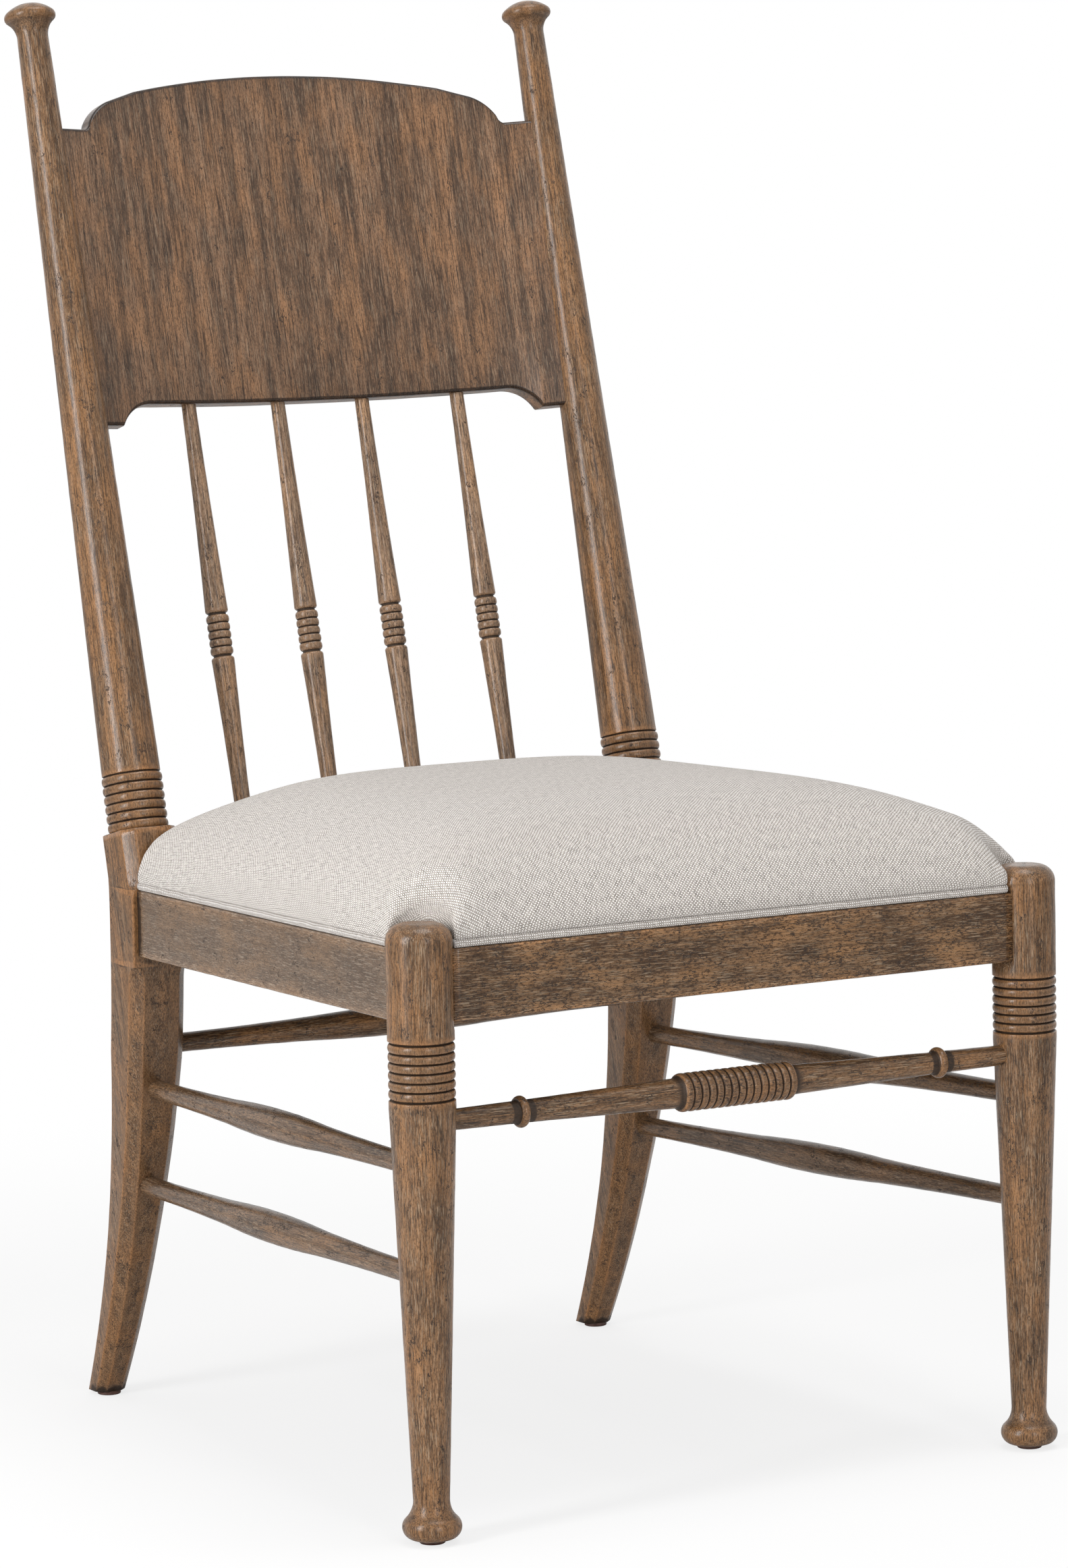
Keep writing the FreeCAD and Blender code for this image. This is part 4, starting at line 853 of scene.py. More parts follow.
@dataclass(frozen=True)
class AgedWood:
    """Stained wood with a grey glaze in its pores, dark specks and cracks, and worn edges.

    Grooves darken as grime and painted shade. The patterns' cells are (across, along) the grain, in
    millimetres.
    """

    FIGURE_LENGTH = 30
    PATCH = (22, 50)
    FINE = (0.62, 20)
    HAIR = (0.62, 12)
    GRIT = (0.9, 2.6)
    WANDER = (1.8, 6.0)
    CROWD = (9, 16)
    TORN = (2.0, 3.2)
    SPATTER = (5.0, 7.5)
    WARMTH = (1.07, 0.98, 0.84)
    CRACK = (0.022, 0.012, 0.007)
    # Colour of the grooves: grime and painted shade.
    GROOVE_GRIME_AND_SHADE = (0.014, 0.008, 0.005)

    name: str
    grain: Grain
    dark: Colour = (0.072, 0.037, 0.017)
    light: Colour = (0.292, 0.158, 0.076)
    glaze: Colour = (0.46, 0.35, 0.24)
    glaze_share: float = 0.42
    figure: float = 5.0
    figure_share: float = 1.35
    patch_share: float = 0.6
    lines: float = 0.8
    grit_share: float = 0.6
    edge_tone: Colour = (1.9, 1.75, 1.55)
    edge_share: float = 0.5
    ring_share: float = 0.75
    marks: float = 0.2
    shift: float = 0.0
    roughness: float = 0.26

    def build(self) -> Material:
        """Make the material.

        Returns:
            The material.
        """
        g = Graph(bpy.data.materials.new(self.name))
        wood = g.place(g.own_place(), self.grain.value, move=(self.shift, self.shift * 0.7, self.shift * 0.4))
        relief = g.add("ShaderNodeAttribute", {"attribute_name": "relief"}).outputs["Fac"]
        flat = g.step(g.math("ABSOLUTE", relief), 0.04, 0.14, 1.0, 1.0 - self.ring_share)
        patch = g.pattern(wood, self.PATCH)
        fine = g.pattern(wood, self.FINE, rough=0.6)
        hair = g.pattern(wood, self.HAIR, (4, 6, 1), detail=1, rough=0.6)
        dull = g.step(patch, 0.62, 0.42, 0.45, 1.0)
        pale = g.times(g.step(hair, 0.54, 0.66), g.times(dull, flat))
        colour = g.mix(g.times(pale, self.glaze_share), self.stained(g, wood, patch, flat), self.glaze)
        lines = g.times(g.step(fine, 0.49, 0.37), g.times(flat, self.lines))
        flaws = g.math("MAXIMUM", self.cracks(g, wood), self.spatters(g, wood))
        colour = g.mix(g.math("MAXIMUM", g.times(flaws, 0.93), lines), colour, self.CRACK)
        # Ridges take the edge tone: lighter where edges are worn, and on the panel, whose edge tone is dark,
        # painted shade along its rim.
        edge = g.step(g.scaled(fine, 0.12, g.minus(relief, 0.06)), 0.10, 0.28, 0, self.edge_share)
        colour = g.mix(edge, colour, g.mix(1.0, colour, self.edge_tone, "MULTIPLY"))
        # Grooves darken towards near black: partly grime, partly painted shade where shade falls between the
        # beads.
        grime_and_shade = g.step(relief, 0.0, -0.22, 0, 0.86)
        colour = g.mix(grime_and_shade, colour, self.GROOVE_GRIME_AND_SHADE)
        rough = g.scaled(g.math("MAXIMUM", flaws, grime_and_shade), 0.30, self.roughness)
        rough = g.scaled(edge, -0.14, g.scaled(fine, -0.12, g.math("ADD", rough, 0.06)))
        height = g.scaled(flaws, -1.0, g.scaled(hair, 0.5, fine))
        return g.surface(colour, height, (0.45, 0.00012), Roughness=rough, Specular_IOR_Level=0.3)

    def stained(self, g: Graph, wood: Socket, patch: Socket, flat: Socket) -> Socket:
        """The stain: figure and patches between the two tones, then grit, then warmer patches.

        Args:
            g: the material's graph.
            wood: the place along the grain.
            patch: the noise of the large patches.
            flat: share of the figure that is left where the surface bends.

        Returns:
            The colour.
        """
        figure = g.pattern(wood, (self.figure, self.figure * self.FIGURE_LENGTH), detail=4, rough=0.68)
        grit = g.pattern(wood, self.GRIT, rough=0.8)
        tone = g.scaled(figure, self.figure_share, 0.5 - self.figure_share / 2)
        tone = g.scaled(patch, self.patch_share, g.minus(tone, self.patch_share / 2))
        tone = g.scaled(g.minus(tone, 0.5), flat, 0.5)
        colour = g.mix(g.step(tone, 0.15, 0.85), self.dark, self.light)
        darkest = tuple(0.6 * part for part in self.dark)
        colour = g.mix(g.step(grit, 0.53, 0.38, 0.0, self.grit_share), colour, darkest)
        colour = g.mix(g.step(grit, 0.56, 0.66, 0.0, self.grit_share * 0.6), colour, self.light)
        warm = g.mix(1.0, colour, self.WARMTH, "MULTIPLY")
        return g.mix(g.step(patch, 0.45, 0.65, 0, 0.8), colour, warm)

    def cracks(self, g: Graph, wood: Socket) -> Socket:
        """Share of short wandering cracks, which stand in clusters.

        Args:
            g: the material's graph.
            wood: the place along the grain.

        Returns:
            The share, from 0 to 1.
        """
        wander = g.pattern(wood, self.WANDER, (7, 1, 9), rough=0.7)
        crowd = g.pattern(wood, self.CROWD, (3, 8, 2), detail=1)
        torn = g.pattern(wood, self.TORN, (5, 2, 6), detail=1)
        line = g.step(g.math("ABSOLUTE", g.minus(wander, 0.5)), 0.055, 0.030)
        most = 0.60 - 0.06 * self.marks
        return g.times(g.times(line, g.step(crowd, most, most + 0.04)), g.step(torn, 0.46, 0.54))

    def spatters(self, g: Graph, wood: Socket) -> Socket:
        """Share of small dark spatters of uneven size.

        Args:
            g: the material's graph.
            wood: the place along the grain.

        Returns:
            The share, from 0 to 1.
        """
        cells = g.add("ShaderNodeTexVoronoi", Vector=g.place(wood, scale=per_mm(*self.SPATTER)), Scale=1.0)
        tint = g.add("ShaderNodeSeparateColor", Color=cells.outputs["Color"]).outputs[0]
        size = g.step(tint, 0.66, 1.0, 0.0, 0.05 + 0.05 * self.marks)
        return g.step(g.minus(cells.outputs["Distance"], size), 0.0, -0.05)


@dataclass(frozen=True)
class PlainWood:
    """Unfinished wood: blocks, and the plies of the seat board."""

    name: str
    grain: Grain
    dark: Colour
    light: Colour
    ply: float = 0.0

    def build(self) -> Material:
        """Make the material.

        Returns:
            The material.
        """
        g = Graph(bpy.data.materials.new(self.name))
        spot = g.own_place()
        wood = g.place(spot, self.grain.value)
        figure = g.pattern(wood, (9, 190), detail=3, rough=0.6, twist=0.8)
        fibre = g.pattern(wood, (0.8, 22), detail=3)
        colour = g.mix(g.step(figure, 0.35, 0.65), self.light, self.dark)
        colour = g.mix(g.step(fibre, 0.50, 0.30, 0, 0.45), colour, self.dark)
        if self.ply:
            height = g.add("ShaderNodeSeparateXYZ", Vector=spot).outputs[2]
            layer = g.math("FRACT", g.math("DIVIDE", height, self.ply * METRES))
            colour = g.mix(g.step(layer, 0.82, 0.95, 0, 0.45), colour, self.dark)
        return g.surface(colour, fibre, (0.35, 0.0003), Roughness=0.72)


@dataclass(frozen=True)
class Linen:
    """Basket-weave linen on the piece's own UV map, in metres of cloth."""

    SWAY = (0.07, 0.07, 1)
    SLUB = (0.8, 0.16, 1)

    name: str
    thread: float = 1.36
    turn: float = 0.0
    pale: Colour = (0.81, 0.775, 0.745)
    taupe: Colour = (0.46, 0.41, 0.365)
    # Colour of the weave's low places: painted shade between the threads.
    gap: Colour = (0.10, 0.085, 0.070)

    def build(self) -> Material:
        """Make the material.

        Returns:
            The material.
        """
        g = Graph(bpy.data.materials.new(self.name))
        cloth = g.add("ShaderNodeUVMap", {"uv_map": "cloth"}).outputs[0]
        threads = g.place(cloth, (0, 0, self.turn), (1 / (self.thread * METRES),) * 3)
        sway = g.noise(g.place(threads, scale=self.SWAY), detail=1)
        axes = g.add("ShaderNodeSeparateXYZ", Vector=threads).outputs
        lines = [g.scaled(sway, way, axis) for way, axis in zip((1.3, -1.6), axes)]
        over = g.math("ADD", g.math("FLOOR", lines[0]), g.math("FLOOR", lines[1]))
        over = g.math("ABSOLUTE", g.math("MODULO", over, 2.0))
        humps = [g.math("SINE", g.times(g.math("FRACT", line), math.pi)) for line in lines]
        warp, weft = (g.times(g.math("POWER", hump, power), g.scaled(other, 0.6, 0.4))
                      for hump, power, other in zip(humps, (0.45, 0.7), humps[::-1]))
        height = g.add("ShaderNodeMix", {"data_type": "FLOAT"})
        height = g.feed_all(height, {0: over, 2: g.times(weft, 0.8), 3: warp}).outputs[0]
        slub = g.noise(g.place(threads, scale=self.SLUB), rough=0.75)
        tone = g.scaled(slub, 0.9, g.minus(height, 0.45))
        # Where the weave sinks it goes to the dark gap colour, painted shade between the threads; where it
        # rises it goes paler, a painted highlight on their crowns. The slub's own uneven tone is mixed in.
        colour = g.mix(over, self.taupe, self.pale)
        colour = g.mix(g.step(tone, 0.62, 0.15), colour, self.gap)
        colour = g.mix(g.step(tone, 0.78, 1.1, 0.0, 0.5), colour, self.pale)
        return g.surface(colour, height, (0.55, 0.0005), Roughness=0.92, Sheen_Weight=0.15,
                         Sheen_Roughness=0.5, Specular_IOR_Level=0.2)


@dataclass(frozen=True)
class Smooth:
    """A finish of two near colours with fine wear: glides, screws, staples and the dust cover."""

    name: str
    colour: Colour
    second: Colour
    size: float
    roughness: float
    metallic: float = 0.0
    bump: float = 0.2

    def build(self) -> Material:
        """Make the material.

        Returns:
            The material.
        """
        g = Graph(bpy.data.materials.new(self.name))
        mottle = g.pattern(g.own_place(), (self.size, self.size), detail=4, rough=0.65)
        colour = g.mix(g.step(mottle, 0.35, 0.7), self.colour, self.second)
        rough = g.step(mottle, 0.3, 0.7, self.roughness - 0.06, self.roughness + 0.12)
        return g.surface(colour, mottle, (self.bump, 0.0002), Roughness=rough, Metallic=self.metallic)


def made(kind: type, *fixed: object, **chosen: object) -> Material:
    """A field that holds the material of one finish, made when the set is made."""
    return field(default_factory=lambda: kind(*fixed, **chosen).build())


@dataclass
class Finishes:
    """Every finish of the chair, made once."""

    post: Material = made(AgedWood, "post_wood", Grain.LEANING, glaze_share=0.3, shift=1.3)
    leg: Material = made(AgedWood, "leg_wood", Grain.UPRIGHT)
    rail: Material = made(
        AgedWood, "rail_wood", Grain.ACROSS, dark=(0.066, 0.034, 0.016), light=(0.262, 0.150, 0.076),
        figure=3.0, figure_share=1.4, patch_share=1.7, lines=0.5, grit_share=0.95, marks=2.0, ring_share=0.0,
        shift=2.1)
    # The side rails' greyer, less saturated tones are a painted sheen over the stain of the front rail.
    side: Material = made(
        AgedWood, "side_rail_wood", Grain.BACKWARD, dark=(0.085, 0.054, 0.034), light=(0.210, 0.139, 0.090),
        glaze=(0.46, 0.38, 0.30), glaze_share=0.3, figure_share=0.9, lines=0.4, ring_share=0.0, marks=-0.6,
        shift=0.6)
    # The panel's dark edge tone paints shade along its rounded rim.
    panel: Material = made(
        AgedWood, "panel_wood", Grain.LEANING, dark=(0.062, 0.036, 0.022), light=(0.268, 0.150, 0.084),
        glaze_share=0.26, figure=7.0, figure_share=1.55, patch_share=0.7, lines=0.85, marks=-0.8, shift=0.9,
        edge_tone=(0.25, 0.24, 0.24), edge_share=1.0, ring_share=0.0)
    spindle: Material = made(
        AgedWood, "spindle_wood", Grain.LEANING, dark=(0.115, 0.068, 0.040), light=(0.370, 0.230, 0.138),
        glaze_share=0.36, edge_tone=(1.25, 1.2, 1.15), shift=3.7)
    crossbar: Material = made(
        AgedWood, "crossbar_wood", Grain.ACROSS, dark=(0.060, 0.032, 0.016), marks=0.8, shift=4.4)
    sidebar: Material = made(
        AgedWood, "sidebar_wood", Grain.BACKWARD, dark=(0.060, 0.032, 0.016), light=(0.235, 0.138, 0.076),
        glaze_share=0.25, shift=5.2)
    block: Material = made(PlainWood, "block_wood", Grain.ACROSS, (0.36, 0.24, 0.13), (0.50, 0.36, 0.21))
    board: Material = made(
        PlainWood, "board_plywood", Grain.BACKWARD, (0.38, 0.26, 0.14), (0.55, 0.42, 0.26), ply=2.4)
    linen: Material = made(Linen, "seat_linen")
    piping: Material = made(Linen, "welt_linen", thread=1.25, turn=math.pi / 4)
    dust: Material = made(
        Smooth, "dust_cloth", (0.020, 0.020, 0.021), (0.034, 0.034, 0.035), 1.4, 0.9, bump=0.6)
    glide: Material = made(Smooth, "glide_nylon", (0.050, 0.018, 0.012), (0.085, 0.034, 0.022), 3.0, 0.42)
    zinc: Material = made(
        Smooth, "zinc_steel", (0.55, 0.54, 0.50), (0.40, 0.39, 0.36), 1.5, 0.34, metallic=1.0)


# The wooden sub-assemblies


def quarter(size: float) -> float:
    """Rise of an arc that rounds a square corner by this size."""
    return size * (1 - math.sqrt(0.5))


@dataclass
class FrontLegs:
    """The two turned front legs."""

    block_z: float = 346.0
    top_round: float = 12.0
    beads: Beads = Beads(CHAIR.leg_radius, 2.4, 6.4, 6)
    ankle_radius: float = 12.7
    ankle_z: float = 31.0
    bun_base: float = 13.1
    bun_swell: float = 4.6
    bun_shoulder: tuple[float, float] = (18.4, 14.2)
    ankle_hollow: float = 1.7
    shoulder: float = 6.5
    wear: tuple[float, float] = (0.16, 9.0)

    def outline(self) -> np.ndarray:
        """Outline of a leg from its foot to its rounded top.

        Returns:
            Its (radius, height) points.
        """
        radius, foot = CHAIR.leg_radius, CHAIR.foot_z
        shaft = self.block_z - self.beads.length
        wide, high = self.bun_shoulder
        line = Outline([(0, foot)])
        line.line(self.bun_base, foot).arc(wide, foot + high, self.bun_swell, 22)
        line.arc(self.ankle_radius, self.ankle_z, -self.ankle_hollow, 14)
        line.line(radius, shaft - self.shoulder).line(radius, shaft - QUIRK).beads(self.beads, shaft)
        line.line(radius, self.block_z + QUIRK).line(radius, CHAIR.leg_top - self.top_round)
        line.arc(radius - self.top_round, CHAIR.leg_top, quarter(self.top_round), 14)
        return line.line(0, CHAIR.leg_top).array()

    def flats(self, shell: Shell, side: int) -> Shell:
        """Cut the flats that the rails shoulder on, over the height of the rails.

        Args:
            shell: the leg, about its own axis.
            side: -1 for the left leg, 1 for the right.

        Returns:
            The leg.
        """
        x, y, z = shell.points.T
        rows = (z > CHAIR.rail_top - CHAIR.rail_height - QUIRK) & (z < CHAIR.rail_top + QUIRK)
        shell.points[:, 0] = np.where(rows & (-side * x > CHAIR.flat), -side * CHAIR.flat, x)
        shell.points[:, 1] = np.where(rows & (y > CHAIR.flat), CHAIR.flat, y)
        return shell

    def build(self, finishes: Finishes) -> None:
        """Make both legs.

        Args:
            finishes: the chair's finishes.
        """
        for label, side in SIDES:
            shell = self.flats(Shell.turned(self.outline(), 64).worn(*self.wear, side * 3.1), side)
            shell.placed(Matrix.Translation((side * CHAIR.leg_x, 0, 0)))
            stand_in(f"front_leg_{label}", "turned", [shell], finishes.leg)


@dataclass
class RearPosts:
    """The two rear posts: swept leg, chamfered block, beads, tapered post and finial."""

    chamfer: float = 8.5
    chamfer_share: float = 0.245
    arris: float = 0.8
    easing: float = 1.0
    foot_width: float = 25.0
    taper_z: float = 277.0
    tongue_low: float = 346.0
    tongue: float = 12.0
    block_top: float = 35.5
    top_share: float = 0.975
    top_rise: float = 0.6
    leg_rows: tuple[int, ...] = (47, 12, 13)
    bend_rows: int = 11
    block_rows: int = 7
    beads: Beads = Beads(22.9, 2.4, 7.1, 6)
    base_radius: float = 22.2
    neck_radius: float = 12.0
    neck_at: float = 648.0
    finial_radius: float = 19.7
    finial_height: float = 26.7
    finial_flare: float = 13.0
    finial_rim: float = 7.0
    rim_round: float = 1.7
    upper_wear: tuple[float, float] = (0.16, 9.0)
    lower_wear: tuple[float, float] = (0.14, 14.0)

    @property
    def bend_z(self) -> float:
        """Height where the upright block starts to turn into the lean."""
        return CHAIR.rake_z - self.tongue / 2

    def front_chamfer(self, z: float) -> float:
        """Chamfer of the front corners, scooped out to square corners at the rails.

        Args:
            z: the height.

        Returns:
            The chamfer.
        """
        below = (self.tongue_low - z) / self.tongue
        above = (z - self.bend_z) / (self.tongue * 5 / 6)
        share = min(1.0, max(0.0, below, above))
        return self.arris + (self.chamfer - self.arris) * math.sqrt(1 - (1 - share) ** 2)

    def section(self, width: float, depth: float, corners: tuple[float, float, float]) -> np.ndarray:
        """A rectangle with chamfered and softly rounded corners, side positive outwards.

        Args:
            width: size across the chair.
            depth: size from front to back.
            corners: chamfers of the front, outer rear and inner rear corners.

        Returns:
            The (x, y) points around the section.
        """
        half_x, half_y = width / 2, depth / 2
        front, outer, inner = corners
        marks = np.array([
            (half_x, front - half_y), (half_x, half_y - outer), (half_x - outer, half_y),
            (inner - half_x, half_y), (-half_x, half_y - inner), (-half_x, front - half_y),
            (front - half_x, -half_y), (half_x - front, -half_y)])
        points = []
        for before, mark, after in zip(np.roll(marks, 1, axis=0), marks, np.roll(marks, -1, axis=0)):
            first, last = (mark + (other - mark) * min(0.45, self.easing / np.linalg.norm(other - mark))
                           for other in (before, after))
            points += [(1 - share) ** 2 * first + 2 * share * (1 - share) * mark + share ** 2 * last
                       for share in (0.0, 0.33, 0.67, 1.0)]
            points.append((mark + after) / 2)
        return np.array(points)

    def level(self, z: float, side: int) -> np.ndarray:
        """Ring of the upright leg at a height.

        Args:
            z: the height.
            side: -1 for the left leg, 1 for the right.

        Returns:
            The ring's points, out from the post's middle.
        """
        low = self.tongue_low - self.tongue
        taper = part_way(z, CHAIR.foot_z, self.taper_z)
        wide = self.foot_width + (CHAIR.post_width - self.foot_width) * taper
        deep = wide + (CHAIR.post_depth - CHAIR.post_width) * part_way(z, self.taper_z, low)
        rear = min(self.chamfer_share * wide, self.chamfer)
        inner = rear + (self.arris - rear) * part_way(z, low, self.tongue_low)
        x, y = self.section(wide, deep, (min(self.front_chamfer(z), rear), rear, inner)).T
        return stacked(side * x, y + CHAIR.post_centre(z), z)

    def leg(self, side: int) -> Shell:
        """The swept leg and the block up to the beads.

        Args:
            side: -1 for the left leg, 1 for the right.

        Returns:
            Its skin.
        """
        marks = (CHAIR.foot_z, self.tongue_low - self.tongue, self.tongue_low, self.bend_z)
        rings = [self.level(z, side) for z in divided(marks, self.leg_rows)]
        width, depth, end = CHAIR.post_width, CHAIR.post_depth, self.tongue / 3
        for share in np.linspace(0, 1, self.bend_rows + 1)[1:]:
            z = self.bend_z + (CHAIR.rake_z + end - self.bend_z) * share
            x, y = self.section(width, depth, (self.front_chamfer(z), self.chamfer, self.arris)).T
            turn = CHAIR.rake * share
            middle = np.array((CHAIR.post_y, self.bend_z)) * (1 - share) + share * CHAIR.lean(0, end, 0)[1:]
            rings.append(stacked(side * x, middle[0] + y * math.cos(turn), middle[1] - y * math.sin(turn)))
        x, y = self.section(width, depth, (self.chamfer, self.chamfer, self.arris)).T
        rings += [CHAIR.lean(side * x, s, y) for s in divided((end, self.block_top), (self.block_rows,))[1:]]
        x, y = x * self.top_share, y * self.top_share
        rings.append(CHAIR.lean(side * x, self.block_top + self.top_rise, y))
        shell = Shell.lofted(rings, 1.4)
        shell.points[:, 0] += side * CHAIR.post_x
        return shell

    def outline(self) -> np.ndarray:
        """Outline of the turned part.

        Returns:
            Its points, in radius and distance along the lean.
        """
        top = self.block_top
        rim = self.finial_radius - self.rim_round
        low = self.neck_at + self.finial_flare
        high, tall = low + self.finial_rim, self.neck_at + self.finial_height
        line = Outline([(0, top - self.tongue)])
        line.line(self.beads.radius - self.beads.depth, top - self.tongue).beads(self.beads, top + QUIRK / 3)
        line.line(self.base_radius, top + self.beads.length + QUIRK).line(self.neck_radius, self.neck_at)
        line.arc(rim, low, -self.rim_round, 14).arc(rim, high, self.rim_round, 14)
        rise = tall - high
        ball = (rim ** 2 + rise ** 2) / (2 * rise)
        bow = ball - math.sqrt(ball ** 2 - (rim ** 2 + rise ** 2) / 4)
        return line.arc(0, tall, bow, 16).array()

    def build(self, finishes: Finishes) -> None:
        """Make both posts.

        Args:
            finishes: the chair's finishes.
        """
        for label, side in SIDES:
            upper = Shell.turned(self.outline(), 60).worn(*self.upper_wear, side * 5.3 + 1)
            upper.leaned(side * CHAIR.post_x, 0)
            lower = self.leg(side).worn(*self.lower_wear, side * 2.3)
            stand_in(f"rear_post_{label}", "shaped", [lower, upper], finishes.post)


@dataclass
class SeatRails:
    """The front, side and rear seat rails."""

    front_rounds: tuple[float, float] = (2.0, 1.0)
    side_rounds: tuple[float, float] = (1.4, 1.0)
    rear_rounds: tuple[float, float] = (1.6, 1.6)
    wear: tuple[float, float] = (0.2, 16.0)
    window: float = 1.5

    def front(self) -> list[np.ndarray]:
        """Rings of the front rail, between the legs' flats.

        Returns:
            The rings, from left to right.
        """
        reach = CHAIR.leg_x - CHAIR.flat
        section = bar_section(-CHAIR.rail_setback, CHAIR.rail_back, CHAIR.rail_top - CHAIR.rail_height,
                              CHAIR.rail_top, self.front_rounds)
        return [stacked(x, *section.T) for x in np.linspace(-reach, reach, 60)]

    def side(self, side: int) -> list[np.ndarray]:
        """Rings of a side rail, which toes in and falls towards the back.

        Args:
            side: -1 for the left rail, 1 for the right.

        Returns:
            The rings, from front to back.
        """
        rings = []
        for y in np.linspace(CHAIR.flat, CHAIR.post_front, 56):
            top, out = CHAIR.seat_z(y), CHAIR.rail_out(y)
            inner = CHAIR.rail_thickness - out
            x, z = bar_section(-out, inner, top - CHAIR.rail_height, top, self.side_rounds).T
            rings.append(stacked(-side * x, y, z))
        return rings

    def rear(self) -> list[np.ndarray]:
        """Rings of the bowed rear rail, which carries the spindles.

        Returns:
            The rings, from left to right.
        """
        low = CHAIR.seat_z(CHAIR.post_front) - CHAIR.rail_height
        rings = []
        for x in np.linspace(-CHAIR.post_inner, CHAIR.post_inner, 64):
            front = CHAIR.rear_rail_front(x)
            back = front + CHAIR.rear_rail_thickness
            rings.append(stacked(x, *bar_section(front, back, low, CHAIR.rear_rail_top, self.rear_rounds).T))
        return rings

    def build(self, finishes: Finishes) -> None:
        """Make the four rails.

        Args:
            finishes: the chair's finishes.
        """
        rails = [("front_rail", "front_seat_rail", self.front(), 4.4, finishes.rail)]
        for label, side in SIDES:
            node = f"side_seat_rail_{label}"
            rails.append((f"side_rail_{label}", node, self.side(side), 7.7 + side, finishes.side))
        rails.append(("rear_rail", "rear_seat_rail", self.rear(), 9.9, finishes.rail))
        for name, node, rings, seed, material in rails:
            shell = Shell.lofted(rings, self.window).worn(*self.wear, seed)
            dress(piece_from(name + "_bar", [shell]), material, "wood", node)


@dataclass
class BackPanel:
    """The bowed panel with its crest, small coves and ears."""

    thickness: float = 17.0
    rim: float = 3.0
    bottom: float = 362.5
    ear_low: float = 345.5
    ear_x: float = 184.5
    ear_curve: float = 26.5
    ear_rise: float = 4.2
    shoulder: float = 576.5
    end_x: float = 208.5
    crest: float = 622.0
    crest_half: float = 134.0
    crest_rise: float = 14.2
    corner: tuple[float, float] = (160.0, 599.5)
    corner_rise: float = 2.2
    cove: tuple[float, float] = (179.5, 583.0)
    cove_rise: float = 1.0
    beside_ear: float = 187.0
    steps: tuple[int, ...] = (33, 15, 59, 9)
    wear: tuple[float, float] = (0.25, 30.0)

    def edges(self) -> tuple[np.ndarray, np.ndarray]:
        """Lower and upper edge of the right half.

        Returns:
            The (x, s) points of each, outwards from the middle.
        """
        inner, ear = (self.ear_x - self.ear_curve, self.bottom), (self.ear_x, self.ear_low)
        curve = arc_points(inner, ear, -self.ear_rise, 16)
        lower = np.vstack([(0, self.bottom), inner, curve, (self.end_x, self.ear_low)])
        end, shoulder = (self.crest_half, self.crest - self.crest_rise), (self.ear_x, self.shoulder)
        crest = arc_points(end, (-end[0], end[1]), self.crest_rise, 40)
        crest = crest[crest[:, 0] >= 0][::-1]
        round_off = arc_points(self.cove, self.corner, self.corner_rise, 14)[::-1]
        hollow = arc_points(shoulder, self.cove, -self.cove_rise, 8)[::-1]
        upper = np.vstack([crest, end, self.corner, round_off, hollow, shoulder, (self.end_x, self.shoulder)])
        return lower, upper[np.argsort(upper[:, 0], kind="stable")]

    def stations(self) -> np.ndarray:
        """Places across the panel, close together where its edges turn."""
        half = divided((0, self.crest_half, self.corner[0], self.beside_ear, self.end_x), self.steps)
        return np.r_[-half[:0:-1], half]

    def build(self, finishes: Finishes) -> None:
        """Make the panel.

        Args:
            finishes: the chair's finishes.
        """
        lower, upper = self.edges()
        half = self.thickness / 2
        rings = []
        for x in self.stations():
            low, high = (np.interp(abs(x), *edge.T) for edge in (lower, upper))
            depth, height = bar_section(-half, half, low, high, (self.rim, self.rim)).T
            rings.append(CHAIR.lean(x, height, depth + CHAIR.bow_at(x)))
        shell = Shell.lofted(rings, 1.8, False).worn(*self.wear, 6.1)
        stand_in("back_panel", "board", [shell], finishes.panel, "wood")


@dataclass
class Spindles:
    """The four turned back spindles."""

    places: tuple[float, ...] = (-118.4, -37.2, 37.2, 118.4)
    top_radius: float = 5.5
    foot_radius: float = 6.0
    bead_at: float = 167.5
    beads: Beads = Beads(8.8, 1.6, 6.16, 5)
    socket: float = 16.0
    corner: float = 2.2
    hollow: float = 0.5
    wear: tuple[float, float] = (0.12, 8.0)

    def outline(self, x: float) -> np.ndarray:
        """Outline of a spindle.

        Args:
            x: where it stands.

        Returns:
            Its points, in radius and distance along the lean.
        """
        rise = CHAIR.rear_rail_top - CHAIR.rake_z + CHAIR.bow_at(x) * math.sin(CHAIR.rake)
        foot = rise / math.cos(CHAIR.rake) - self.socket
        bottom, swell, round_off = BackPanel.bottom, self.beads.radius, quarter(self.corner)
        low, high = self.bead_at - QUIRK, self.bead_at + self.beads.length + QUIRK
        line = Outline([(0, foot)])
        line.line(self.foot_radius, foot).line(self.foot_radius, foot + self.socket)
        line.arc(swell, low - self.corner, -self.hollow, 24).arc(swell - self.corner, low, round_off, 6)
        line.beads(self.beads, self.bead_at).line(swell - self.corner, high)
        line.arc(swell, high + self.corner, round_off, 6).arc(self.top_radius, bottom, -self.hollow, 30)
        return line.line(self.top_radius, bottom + self.socket).line(0, bottom + self.socket).array()

    def build(self, finishes: Finishes) -> None:
        """Make the spindles.

        Args:
            finishes: the chair's finishes.
        """
        for number, x in enumerate(self.places, start=1):
            shell = Shell.turned(self.outline(x), 40).worn(*self.wear, number * 2.9)
            shell.leaned(x, CHAIR.bow_at(x))
            stand_in(f"back_spindle_{number}", "turned", [shell], finishes.spindle)


